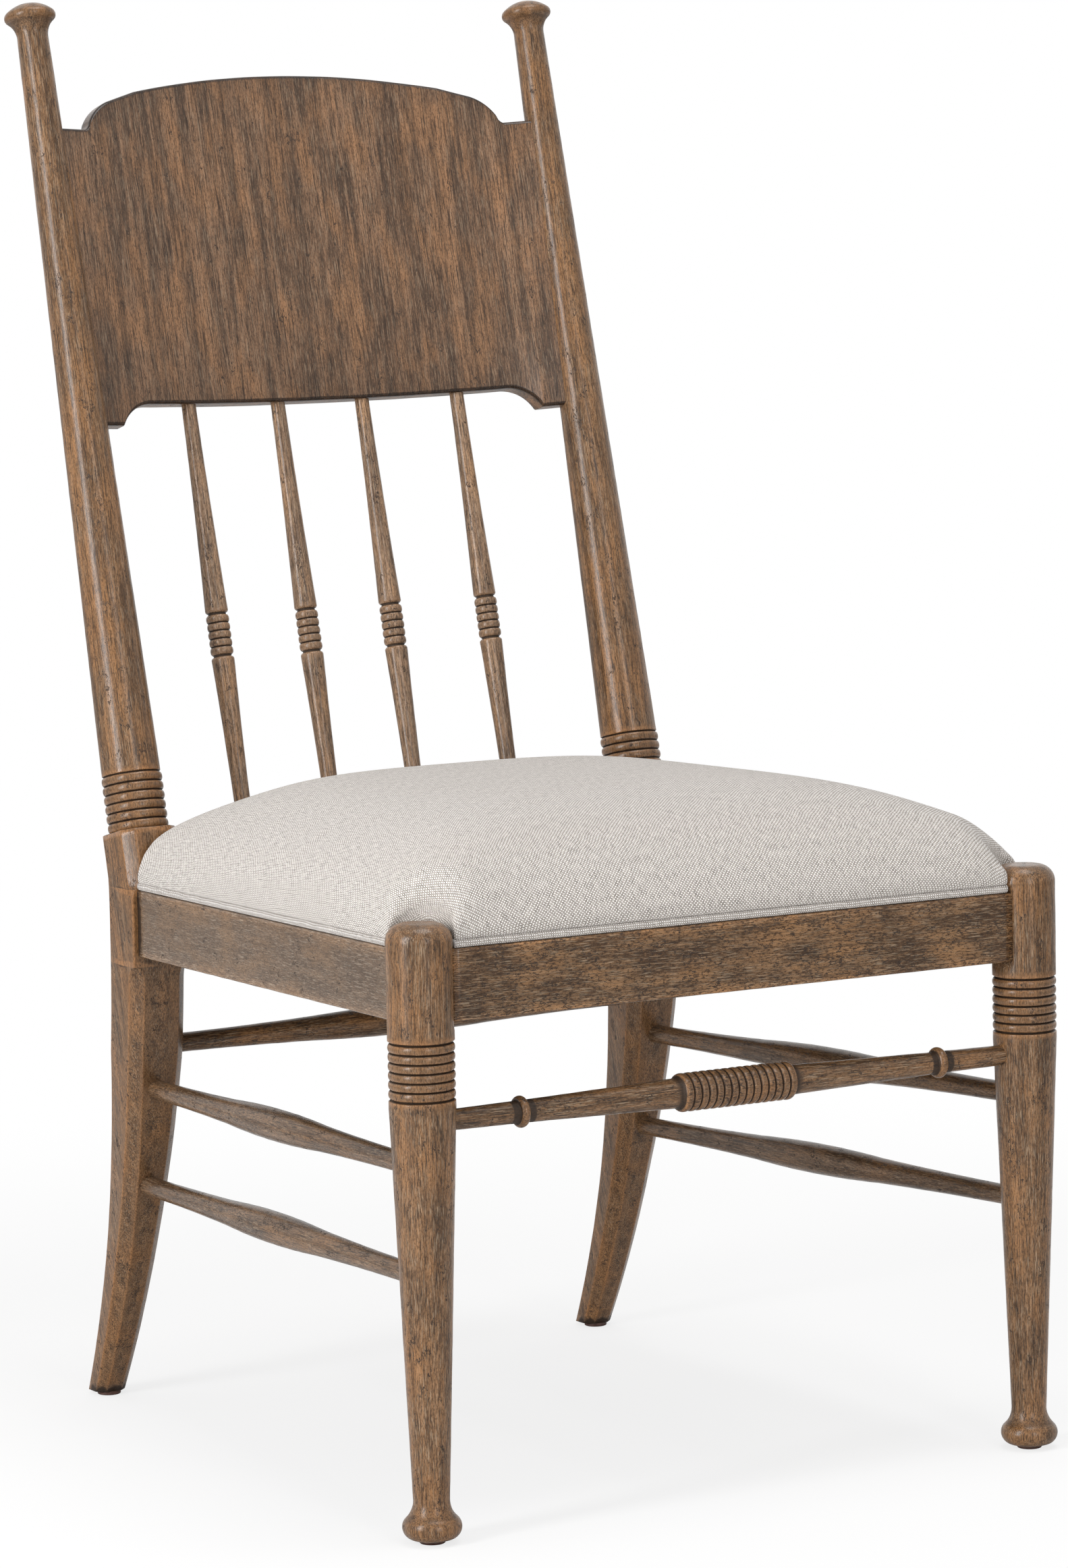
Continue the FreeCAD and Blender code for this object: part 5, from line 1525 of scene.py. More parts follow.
@dataclass
class Stretchers:
    """The front, rear and side stretchers."""

    radius: float = 7.2
    socket: float = 15.0
    bury: float = 4.0
    swell: float = 11.6
    shoulder: float = 9.5
    swell_half: float = 77.0
    hollow: float = 0.55
    front_z: float = 290.5
    rear_z: float = 281.0
    upper_z: float = 259.2
    lower_z: float = 183.4
    fall: float = 9.4
    rings: Beads = Beads(13.65, 1.8, 6.1, 15)
    body: float = 10.6
    collar_x: float = 173.0
    collar_width: float = 7.0
    collar_radius: float = 11.15
    collar_body: float = 7.9
    wear: tuple[float, float] = (0.14, 9.0)

    def routes(self) -> dict[str, tuple[tuple, tuple]]:
        """Ends of every stretcher, on the axes of its legs.

        Returns:
            The two ends by node.
        """
        leg, post = CHAIR.leg_x, CHAIR.post_x
        rear_y = CHAIR.post_centre(self.rear_z)
        ends = {"front_stretcher": ((-leg, 0, self.front_z), (leg, 0, self.front_z)),
                "rear_stretcher": ((-post, rear_y, self.rear_z), (post, rear_y, self.rear_z))}
        for label, side in SIDES:
            for level, z in (("upper", self.upper_z), ("lower", self.lower_z)):
                rear = (side * post, CHAIR.post_centre(z - self.fall), z - self.fall)
                ends[f"{level}_side_stretcher_{label}"] = ((side * leg, 0, z), rear)
        return ends

    def plain(self, line: Outline, length: float) -> Outline:
        """Draw a swollen middle between the two ends.

        Args:
            line: the outline up to the first shoulder.
            length: length of the whole stretcher.

        Returns:
            The outline up to the last shoulder.
        """
        low, high = length / 2 - self.swell_half, length / 2 + self.swell_half
        line.arc(self.shoulder, low, -self.hollow, 20)
        line.arc(self.shoulder, high, self.swell - self.shoulder, 30)
        return line.arc(self.radius, length - self.socket, -self.hollow, 20)

    def ringed(self, line: Outline, length: float) -> Outline:
        """Draw the rings and collars between the two ends.

        Args:
            line: the outline up to the first shoulder.
            length: length of the whole stretcher.

        Returns:
            The outline up to the last shoulder.
        """
        middle, group = length / 2, self.rings.length / 2
        near, far = self.collar_x - self.collar_width / 2, self.collar_x + self.collar_width / 2
        stand = self.collar_radius - self.collar_body
        line.line(self.collar_body, middle - far).arc(self.collar_body, middle - near, stand, 14)
        line.line(self.body, middle - group - QUIRK).beads(self.rings, middle - group)
        line.line(self.body, middle + group + QUIRK).line(self.collar_body, middle + near)
        return line.arc(self.collar_body, middle + far, stand, 14).line(self.radius, length - self.socket)

    def build(self, finishes: Finishes) -> None:
        """Make the six stretchers, each from inside one leg to inside the other.

        Args:
            finishes: the chair's finishes.
        """
        for number, (node, (first, last)) in enumerate(self.routes().items()):
            first, last = Vector(first), Vector(last)
            toward = (last - first).normalized()
            start, end = first + toward * self.bury, last - toward * self.bury
            length = (end - start).length
            line = Outline([(0, 0)]).line(self.radius, 0).line(self.radius, self.socket)
            draw = self.ringed if node == "front_stretcher" else self.plain
            outline = draw(line, length).line(self.radius, length).line(0, length).array()
            turn = toward.to_track_quat("Z", "Y").to_matrix().to_4x4()
            shell = Shell.turned(outline, 48).worn(*self.wear, number * 1.7)
            shell.placed(Matrix.Translation(start) @ turn)
            stand_in(node, "turned", [shell], finishes.sidebar if "side" in node else finishes.crossbar)


@dataclass
class Glides:
    """The four glides under the feet: dished discs with a rounded edge and a collar."""

    radius: float = 9.0
    height: float = 3.0
    lead: float = 4.0
    edge: float = 1.0
    edge_rise: float = 0.29
    collar_in: float = 0.5
    collar_low: float = 0.9
    collar_high: float = 0.7

    def outline(self) -> np.ndarray:
        """Outline of a glide, from the floor up.

        Returns:
            Its (radius, height) points.
        """
        collar = self.radius - self.collar_in
        line = Outline([(0, 0)], run=2.0, crisp=0.2)
        line.line(self.radius - self.edge, 0).arc(self.radius, self.edge, self.edge_rise, 6)
        line.line(self.radius, self.height - self.collar_low).line(collar, self.height - self.collar_high)
        return line.line(collar, self.height).line(0, self.height).array()

    def build(self, finishes: Finishes) -> None:
        """Make the four glides.

        Args:
            finishes: the chair's finishes.
        """
        rear_y = CHAIR.post_centre(CHAIR.foot_z) - self.lead
        for label, side in SIDES:
            for place, x, y in (("front", CHAIR.leg_x, 0.0), ("rear", CHAIR.post_x, rear_y)):
                shell = Shell.turned(self.outline(), 48, 0.4).placed(Matrix.Translation((side * x, y, 0)))
                stand_in(f"glide_{place}_{label}", "disc", [shell], finishes.glide, "glide")


# The soft parts


def past_posts(x: np.ndarray, y: np.ndarray, gap: float) -> np.ndarray:
    """How far places reach into the corners of the posts' blocks, with a gap around them."""
    return np.clip(np.minimum(np.abs(x) - CHAIR.post_inner + gap, y - CHAIR.post_front + gap), 0, None)


def clear_of_wood(points: np.ndarray, gap: float, low: bool | np.ndarray = True) -> np.ndarray:
    """Move points straight out of the front legs, and along the diagonal out of the posts' blocks.

    Args:
        points: points in millimetres, one to a row.
        gap: distance that is kept from the wood.
        low: whether a point is low enough to meet a leg.

    Returns:
        The same points, moved.
    """
    side = np.where(points[:, 0] < 0, -1.0, 1.0)
    radius = CHAIR.leg_radius + gap
    away = np.stack([points[:, 0] - side * CHAIR.leg_x, points[:, 1]], axis=1)
    far = np.linalg.norm(away, axis=1)
    push = np.where(low & (far < radius), radius / np.maximum(far, ALMOST_ZERO), 1.0)
    points[:, 0] = side * CHAIR.leg_x + away[:, 0] * push
    points[:, 1] = away[:, 1] * push
    over = past_posts(points[:, 0], points[:, 1], gap)
    points[:, 0] -= side * over
    points[:, 1] -= over
    return points


@dataclass
class Cushion:
    """The crowned seat cushion in its linen cover, drawn round the legs and posts.

    The rows of turned_in say how far in, and how high over the start, each row of the turned-under edge lies.
    """

    side_height: float = 12.0
    start: float = 5.4
    turned_in: tuple[tuple[float, float], ...] = ((0.0, 3.2), (0.2, 1.4), (1.2, 0.2), (8.0, 0.0))
    middle_y: float = 225.0
    base_share: float = 0.95
    crown: float = 75.0
    power: float = 3.5
    rear_power: float = 5.0
    corner: float = 2.3
    tuck: float = 0.5
    tuck_run: float = 26.0
    across: int = 98
    deep: int = 92
    swell: float = 5.0
    pressure: float = 4.0
    frames: int = 20
    cap: float = 4.0
    calm: int = 30
    clearance: float = 0.3

    def crowned(self) -> tuple[np.ndarray, np.ndarray]:
        """The crown before it swells.

        Returns:
            A grid of its points, and the cloth's own place of each point, from the middle.
        """
        marks = [np.sin(np.linspace(-1, 1, count) * math.pi / 2) for count in (self.across, self.deep)]
        u, v = np.meshgrid(*marks, indexing="ij")
        x, y = CHAIR.seat_plan(u, v, 0.0, CHAIR.soft_gap, 5)
        level = np.sqrt(self.fullness(u, v)) * self.tucked(x, y)
        points = np.stack([x, y, self.side_height + (self.crown - self.swell) * level], axis=-1)
        cloth = []
        for axis in (0, 1):
            steps = np.linalg.norm(np.diff(points, axis=axis), axis=-1)
            run = np.cumsum(np.insert(steps, 0, 0.0, axis=axis), axis=axis)
            cloth.append(run - np.take(run, [run.shape[axis] // 2], axis=axis))
        return points, np.stack(cloth, axis=-1)

    def fullness(self, u: np.ndarray, v: np.ndarray) -> np.ndarray:
        """Square of the crown's height, falling to the sides and to front and back, blended at the corners.

        Args:
            u: share across, from -1 to 1.
            v: share back, from -1 to 1.

        Returns:
            Shares from 0 at the edge to 1 in the middle.
        """
        powers = (self.power, np.where(v > 0, self.rear_power, self.power))
        fall = [np.clip(1 - np.abs(share) ** power, ALMOST_ZERO, 1) ** -self.corner
                for share, power in zip((u, v), powers)]
        return (fall[0] + fall[1] - 1) ** (-1 / self.corner)

    def tucked(self, x: np.ndarray, y: np.ndarray) -> np.ndarray:
        """Share of the crown's height that is left beside a front leg, where the cover is drawn down.

        Args:
            x: out from the middle.
            y: back from the legs.

        Returns:
            The share, from 0 to 1.
        """
        gap = np.hypot(np.abs(x) - CHAIR.leg_x, y) - CHAIR.leg_radius
        share = np.clip(gap / self.tuck_run, 0, 1)
        return self.tuck + (1 - self.tuck) * np.sqrt(1 - (1 - share) ** 2)

    def notched(self, points: np.ndarray) -> np.ndarray:
        """Push the points out of the legs and the posts' blocks, along the diagonal of each corner.

        Args:
            points: the crown's grid.

        Returns:
            The grid with its corners cut out.
        """
        radius = CHAIR.leg_radius + CHAIR.soft_gap
        x, y = points[..., 0], points[..., 1]
        side = np.where(x < 0, -1.0, 1.0)
        out = np.abs(x) - CHAIR.leg_x
        depth = radius ** 2 - out ** 2 - y ** 2
        half = (y - out) / math.sqrt(2)
        reach = np.sqrt(np.clip(half ** 2 + depth, 0, None)) - half
        reach = np.where(depth > 0, reach / math.sqrt(2), 0)
        x, y = x - side * reach, y + reach
        over = past_posts(x, y, CHAIR.soft_gap)
        return np.stack([x - side * over, y - over, points[..., 2]], axis=-1)

    def mesh(self) -> Piece:
        """The cushion before it swells: its crown, its turned-under edge and its base.

        Returns:
            The piece, with its cloth map and the points that the simulation holds.
        """
        top, cloth = self.crowned()
        top = self.notched(top)
        index = np.arange(self.across * self.deep).reshape(self.across, self.deep)
        rim = np.r_[index[:-1, 0], index[-1, :-1], index[:0:-1, -1], index[0, :0:-1]]
        spots, places, faces = [top.reshape(-1, 3)], [cloth.reshape(-1, 2)], grid_faces(index)
        centre = np.array((0.0, self.middle_y))
        edge, edge_cloth = spots[0][rim, :2], places[0][rim]
        inward = (centre - edge) / np.linalg.norm(centre - edge, axis=1)[:, None]
        away = edge_cloth / np.linalg.norm(edge_cloth, axis=1)[:, None]
        last, total = rim, index.size
        for inset, lift in self.turned_in:
            height = self.start + lift
            spots.append(stacked(*(edge + inward * inset).T, height))
            places.append(edge_cloth + away * (self.side_height - height + inset))
            now = np.arange(total, total + len(rim))
            faces += stacked(last, now, np.roll(now, -1), np.roll(last, -1)).tolist()
            last, total = now, total + len(rim)
        base = centre + (top[1:-1, 1:-1, :2] - centre) * self.base_share
        below = np.empty_like(index)
        below[rim // self.deep, rim % self.deep] = last
        below[1:-1, 1:-1] = total + np.arange(base.size // 2).reshape(base.shape[:2])
        spots.append(stacked(*base.reshape(-1, 2).T, self.start))
        places.append(cloth[1:-1, 1:-1].reshape(-1, 2))
        faces += grid_faces(below, below=True)
        points = np.vstack(spots)
        points[:, 2] += CHAIR.seat_z(points[:, 1])
        piece = piece_from("seat_cushion", [Shell(points, faces, np.zeros(len(points)))])
        map_cloth(piece, np.vstack(places))
        held = np.r_[np.arange(index.size, len(points)), rim]
        piece.vertex_groups.new(name="held").add(held.tolist(), 1.0, "REPLACE")
        return piece

    def swollen(self, piece: Piece) -> None:
        """Let the cover swell with its base held, cap and smooth the shift, and keep clear of the wood.

        Args:
            piece: the cushion, whose mesh is moved.
        """
        rest = read_points(piece.data)
        modifier = piece.modifiers.new("swelling", "CLOTH")
        cloth = modifier.settings
        cloth.use_pressure = True
        cloth.uniform_pressure_force = self.pressure
        cloth.vertex_group_mass = "held"
        cloth.effector_weights.gravity = 0.0
        cloth.quality = 5
        modifier.collision_settings.use_collision = False
        for number in range(1, self.frames + 1):
            bpy.context.scene.frame_set(number)
        done = piece.evaluated_get(bpy.context.evaluated_depsgraph_get())
        shift = read_points(done.data) - rest
        length = np.linalg.norm(shift, axis=1, keepdims=True)
        LOG.info("cushion swelled %.1f mm at most", length.max() / METRES)
        shift *= np.minimum(1, self.cap * METRES / np.maximum(length, 1e-9))
        top = shift[:self.across * self.deep].reshape(self.across, self.deep, 3)
        for _ in range(self.calm):
            top[1:-1, 1:-1] = (top[:-2, 1:-1] + top[2:, 1:-1] + top[1:-1, :-2] + top[1:-1, 2:]) / 4
        piece.modifiers.remove(modifier)
        bpy.context.scene.frame_set(1)
        piece.data.vertices.foreach_set("co", self.cleared(rest + shift).ravel().astype(np.float32))
        piece.data.update()

    def cleared(self, points: np.ndarray) -> np.ndarray:
        """Keep the swollen points out of the legs, the posts and the rear rail.

        Args:
            points: points in metres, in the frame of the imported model.

        Returns:
            The moved points, in metres too.
        """
        spots = points / METRES
        spots[:, 1] -= FRONT_Y / METRES
        spots = clear_of_wood(spots, self.clearance, spots[:, 2] < CHAIR.leg_top)
        limit = CHAIR.rear_rail_front(np.clip(np.abs(spots[:, 0]), 0, CHAIR.post_inner)) - self.clearance
        spots[:, 1] = np.minimum(spots[:, 1], limit)
        spots[:, 1] += FRONT_Y / METRES
        return spots * METRES

    def build(self, finishes: Finishes) -> None:
        """Make the cushion, swell it, and add one subdivision.

        Args:
            finishes: the chair's finishes.
        """
        piece = self.mesh()
        self.swollen(piece)
        finer = piece.modifiers.new("finer", "SUBSURF")
        finer.levels = finer.render_levels = 1
        dress(piece, finishes.linen, "linen", "seat_cover", "seat_foam")


@dataclass
class Welts:
    """The corded edges of the cover along the front and side rails."""

    segments: int = 20
    step: float = 3.0
    fullness: float = 0.975
    wave: float = 0.03
    wave_run: float = 12.0
    side_y: float = 20.0
    clearance: float = 0.3

    def cord(self, start: np.ndarray, end: np.ndarray, seed: float) -> tuple[Shell, np.ndarray]:
        """A straight cord.

        Args:
            start: where it starts.
            end: where it ends.
            seed: place in the noise of its thickness.

        Returns:
            Its skin, and the cloth's own place of each point.
        """
        run = end - start
        length = float(np.linalg.norm(run))
        along = run / length
        across = np.cross((0, 0, 1), along)
        across /= np.linalg.norm(across)
        up = np.cross(along, across)
        angles = np.linspace(0, 2 * math.pi, self.segments, endpoint=False)
        circle = np.outer(np.cos(angles), across) + np.outer(np.sin(angles), up)
        rings, places = [], []
        for share in np.linspace(0, 1, int(length / self.step)):
            wave = noise.noise(Vector((share * length / self.wave_run, seed, 0)))
            rings.append(start + run * share + CHAIR.welt / 2 * (self.fullness + self.wave * wave) * circle)
            places.append(stacked(share * length, angles * CHAIR.welt / 2))
        ends = (rings[0].mean(axis=0), rings[-1].mean(axis=0))
        shell = Shell.capped(np.array(rings), np.zeros((len(rings), self.segments)), *ends)
        return shell, np.vstack([*places, places[0][:1], places[-1][:1]])

    def runs(self) -> dict[str, list[np.ndarray]]:
        """Both ends of every welt.

        Returns:
            The ends by node.
        """
        radius = CHAIR.welt / 2
        hide = CHAIR.leg_radius + CHAIR.soft_gap
        y = radius - CHAIR.rail_setback
        front_x = CHAIR.leg_x - math.sqrt(hide ** 2 - y ** 2)
        height = CHAIR.rail_top + radius
        runs = {"seat_welt_front": [np.array((x, y, height)) for x in (-front_x, front_x)]}
        out = CHAIR.rail_out(self.side_y) - radius
        ends = (math.sqrt(hide ** 2 - (out - CHAIR.leg_x) ** 2), CHAIR.post_front - self.clearance)
        for label, side in SIDES:
            runs[f"seat_welt_{label}"] = [
                np.array((side * (CHAIR.rail_out(y) - radius), y, CHAIR.seat_z(y) + radius)) for y in ends]
        return runs

    def build(self, finishes: Finishes) -> None:
        """Make the three welts.

        Args:
            finishes: the chair's finishes.
        """
        for number, (node, (start, end)) in enumerate(self.runs().items()):
            shell, places = self.cord(start, end, number * 5.0)
            piece = piece_from(node + "_cord", [shell])
            map_cloth(piece, places)
            dress(piece, finishes.piping, "linen", node)


# The hidden side of the seat


@dataclass
class Screws:
    """Twelve screws with domed heads, cross recesses and threaded shanks.

    The shares are parts of the shank's or the head's radius, and thread_share is part of the straight shank.
    """

    front_in: float = 45.4
    side_back: float = 50.0
    rear_in: float = 41.0
    side_forward: float = 45.5
    seat_front: tuple[float, float] = (34.4, 29.0)
    seat_rear: tuple[float, float] = (10.0, 8.5)
    grip: float = 14.0
    block_reach: float = 68.0
    block_below: float = 2.0
    block_height: float = 22.0
    shank_radius: float = 2.2
    head_radius: float = 4.2
    head_height: float = 2.6
    block_length: float = 24.0
    seat_length: float = 31.0
    core_share: float = 0.82
    point_share: float = 2.0
    tip_share: float = 0.1
    ridge_share: float = 0.17
    pitch_share: float = 1.15
    thread_share: float = 0.96
    arm_share: float = 1.05
    slot_share: float = 0.22

    def places(self, rear: bool) -> tuple[list[tuple], list[tuple]]:
        """Head seats and directions of the right-hand screws of one corner.

        Args:
            rear: whether the corner is at the back.

        Returns:
            The two screws into the rails, and the one up into the seat board.
        """
        low = CHAIR.seat_z(CHAIR.post_y if rear else self.block_reach) - self.block_below - self.block_height
        level = low + self.block_height / 2
        way = 1 if rear else -1
        long_x = CHAIR.post_inner - self.rear_in if rear else CHAIR.leg_x - self.front_in
        face = CHAIR.rear_rail_front(long_x) if rear else CHAIR.rail_back
        side_y = CHAIR.post_front - self.side_forward if rear else self.side_back
        side_x = CHAIR.rail_out(side_y) - CHAIR.rail_thickness - self.grip
        seat = (CHAIR.leg_x - self.seat_front[0], self.seat_front[1])
        if rear:
            seat = (CHAIR.post_inner - self.seat_rear[0], CHAIR.post_front - self.seat_rear[1])
        rails = [((long_x, face - way * self.grip, level), (0, way, 0)), ((side_x, side_y, level), (1, 0, 0))]
        return rails, [((*seat, low), (0, 0, 1))]

    def shank(self, g: Growth) -> list[Socket]:
        """The threaded shank, along Z from the head's seat.

        Args:
            g: the tree.

        Returns:
            The rod, its point and its thread.
        """
        shank, whole = g.inputs["Shank"], g.inputs["Length"]
        core, point = g.times(shank, self.core_share), g.times(shank, self.point_share)
        straight = g.minus(whole, point)
        rod = g.shape("GeometryNodeMeshCylinder", Vertices=16, Radius=core, Depth=straight)
        tip = g.shape("GeometryNodeMeshCone", Vertices=16, Radius_Top=g.times(shank, self.tip_share),
                      Radius_Bottom=core, Depth=point)
        ridge = g.shape("GeometryNodeCurvePrimitiveCircle", Resolution=4,
                        Radius=g.times(shank, self.ridge_share))
        turns = g.math("DIVIDE", whole, g.times(shank, self.pitch_share))
        helix = g.shape("GeometryNodeCurveSpiral", Resolution=12, Rotations=turns, Start_Radius=core,
                        End_Radius=core, Height=g.times(straight, self.thread_share))
        thread = g.shape("GeometryNodeCurveToMesh", Curve=helix, Profile_Curve=ridge, Fill_Caps=True)
        return [g.moved(rod, g.spot(z=g.times(straight, 0.5))), g.moved(tip, g.spot(z=straight)), thread]

    def head(self, g: Growth) -> Socket:
        """The domed head, cut flat at its seat and with a cross recess.

        Args:
            g: the tree.

        Returns:
            The head.
        """
        head, height = g.inputs["Head"], g.inputs["Height"]
        dome = g.shape("GeometryNodeMeshUVSphere", Segments=28, Rings=14, Radius=head)
        dome = g.moved(dome, scale=g.spot(1.0, 1.0, g.math("DIVIDE", height, head)))
        cut = g.add("GeometryNodeMeshBoolean", {"operation": "DIFFERENCE", "solver": "EXACT"})
        g.feed_all(cut, {"Mesh 1": dome, "Self Intersection": True})
        arm, slot = g.times(head, self.arm_share), g.times(head, self.slot_share)
        block, top = g.times(head, 4.0), g.spot(z=g.times(height, -1.0))
        for size, move in ((g.spot(arm, slot, height), top), (g.spot(slot, arm, height), top),
                           (g.spot(block, block, block), g.spot(z=g.times(head, 2.0)))):
            g.feed(cut.inputs["Mesh 2"], g.moved(g.shape("GeometryNodeMeshCube", Size=size), move))
        return cut.outputs[0]

    def growth(self, length: float, material: Material) -> Growth:
        """The tree that sets a screw on each place, along its aim.

        Args:
            length: length of the screws.
            material: their finish.

        Returns:
            The tree.
        """
        g = Growth("screws", {"Shank": self.shank_radius * METRES, "Head": self.head_radius * METRES,
                              "Height": self.head_height * METRES, "Length": length * METRES})
        screw = g.joined(*self.shank(g), self.head(g))
        aim = g.shape("GeometryNodeInputNamedAttribute", {"data_type": "FLOAT_VECTOR"}, Name="aim")
        turn = g.shape("FunctionNodeAlignRotationToVector", {"axis": "Z"}, Vector=aim)
        g.close(g.shape("GeometryNodeInstanceOnPoints", Points=g.inputs["Geometry"], Instance=screw,
                        Rotation=turn), material)
        return g

    def build(self, finishes: Finishes) -> None:
        """Make the screws of the blocks, and those of the seat.

        Args:
            finishes: the chair's finishes.
        """
        rails, seats = [], []
        for _, side in SIDES:
            for rear in (False, True):
                for kind, found in zip((rails, seats), self.places(rear)):
                    kind += [((side * x, y, z), (side * ax, ay, az)) for (x, y, z), (ax, ay, az) in found]
        for name, node, kind, length in (
                ("block_screws_driven", "corner_block_screws", rails, self.block_length),
                ("seat_screws_driven", "seat_screws", seats, self.seat_length)):
            spots, turns = (np.array(part) for part in zip(*kind))
            mesh = bpy.data.meshes.new(name + "_places")
            mesh.from_pydata(in_frame(spots).tolist(), [], [])
            aims = mesh.attributes.new("aim", "FLOAT_VECTOR", "POINT")
            aims.data.foreach_set("vector", turns.astype(np.float32).ravel())
            dress(self.growth(length, finishes.zinc).grow(name, mesh), finishes.zinc, "screw", node)


@dataclass
class Underside:
    """The dust cover with its staples, the board and the corner blocks."""

    inset: float = 24.0
    gap: float = 2.0
    lift: float = 0.5
    sag: float = 2.5
    wave_run: float = 90.0
    rows: int = 40
    staple_spacing: float = 31.0
    staple_crown: float = 10.0
    staple_wire: float = 0.55
    staple_turn: float = 0.16
    staple_seed: int = 7

    def staples(self, grid: np.ndarray, finishes: Finishes) -> Piece:
        """Staples along the edge of the dust cover, each turned a little differently.

        Args:
            grid: the dust cover's points.
            finishes: the chair's finishes.

        Returns:
            The piece.
        """
        edge = np.vstack([grid[1:-1, 1], grid[-2, 2:-1], grid[-3:0:-1, -2], grid[1, -3:1:-1]])
        edge[:, 2] -= self.staple_wire
        mesh = bpy.data.meshes.new("staple_line")
        mesh.from_pydata(in_frame(edge).tolist(), [(k, (k + 1) % len(edge)) for k in range(len(edge))], [])
        g = Growth("staples", {"Spacing": self.staple_spacing * METRES, "Crown": self.staple_crown * METRES,
                               "Wire": self.staple_wire * METRES, "Turn": self.staple_turn})
        line = g.shape("GeometryNodeMeshToCurve", Mesh=g.inputs["Geometry"])
        spots = g.add("GeometryNodeCurveToPoints", {"mode": "LENGTH"}, Curve=line, Length=g.inputs["Spacing"])
        reach, rise = g.times(g.inputs["Crown"], 0.5), g.times(g.inputs["Wire"], 1.6)
        wire = g.shape("GeometryNodeCurveArc", {"mode": "POINTS"}, Resolution=9, Middle=g.spot(),
                       Start=g.spot(g.times(reach, -1.0), z=rise), End=g.spot(reach, z=rise))
        ring = g.shape("GeometryNodeCurvePrimitiveCircle", Resolution=8, Radius=g.inputs["Wire"])
        staple = g.shape("GeometryNodeCurveToMesh", Curve=wire, Profile_Curve=ring, Fill_Caps=True)
        along = g.shape("FunctionNodeAlignRotationToVector", {"axis": "X", "pivot_axis": "Z"},
                        Vector=spots.outputs["Tangent"])
        chance = g.add("FunctionNodeRandomValue", {"data_type": "FLOAT"})
        most = g.inputs["Turn"]
        g.feed_all(chance, {2: g.times(most, -1.0), 3: most, "Seed": self.staple_seed})
        skew = g.shape("FunctionNodeEulerToRotation", Euler=g.spot(z=chance.outputs[1]))
        turn = g.shape("FunctionNodeRotateRotation", Rotation=along, Rotate_By=skew)
        g.close(g.shape("GeometryNodeInstanceOnPoints", Points=spots.outputs["Points"], Instance=staple,
                        Rotation=turn), finishes.zinc)
        return dress(g.grow("dust_cover_staples", mesh), finishes.zinc, "screw")

    def cloth(self) -> np.ndarray:
        """The dust cover's points: drooping between its edges, and cut round the legs and posts.

        Returns:
            The points, row by row.
        """
        marks = np.linspace(-1, 1, self.rows)
        u, v = (part.ravel() for part in np.meshgrid(marks, marks, indexing="ij"))
        x, y = CHAIR.seat_plan(u, v, self.inset, self.gap, 4)
        wave = np.array([noise.noise(Vector((*spot, 0)) / self.wave_run) for spot in zip(x, y)])
        droop = self.sag * (1 - u ** 4) * (1 - v ** 4) * 0.5 * (1 + wave)
        points = clear_of_wood(stacked(x, y, -self.lift - droop), self.gap)
        points[:, 2] += CHAIR.seat_z(points[:, 1])
        return points

    def dust_cover(self, finishes: Finishes) -> None:
        """Make the thin black cloth that is stapled up under the board.

        Args:
            finishes: the chair's finishes.
        """
        points = self.cloth()
        index = np.arange(len(points)).reshape(self.rows, self.rows)
        piece = piece_from("dust_cover_cloth", [Shell(points, grid_faces(index), np.zeros(len(points)))])
        dress(piece, finishes.dust, "dust_cloth", "dust_cover")
        staples = self.staples(points[index], finishes)

    def build(self, finishes: Finishes) -> None:
        """Dress the board and the blocks, and make the dust cover.

        Args:
            finishes: the chair's finishes.
        """
        kept = {"seat_board": finishes.board}
        for label, _ in SIDES:
            kept |= {f"corner_block_{place}_{label}": finishes.block for place in ("front", "rear")}
        for node, material in kept.items():
            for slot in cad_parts[node].material_slots:
                slot.material = material
            LOG.info("%s keeps its solid", node)
        self.dust_cover(finishes)


# The studio


@dataclass(frozen=True)
class Lamp:
    """One soft lamp in metres, so wide and so high, aimed at the middle of the chair."""

    AIM = (0, 0, 0.5)

    name: str
    spot: tuple[float, float, float]
    size: tuple[float, float]
    watts: float

    def build(self) -> None:
        """Hang the lamp."""
        data = bpy.data.lights.new(self.name, "AREA")
        data.shape = "RECTANGLE"
        data.size, data.size_y = self.size
        data.energy = self.watts
        lamp = linked(self.name, data)
        lamp.visible_camera = False
        lamp.location = self.spot
        lamp.rotation_euler = (Vector(self.AIM) - Vector(self.spot)).to_track_quat("-Z", "Y").to_euler()


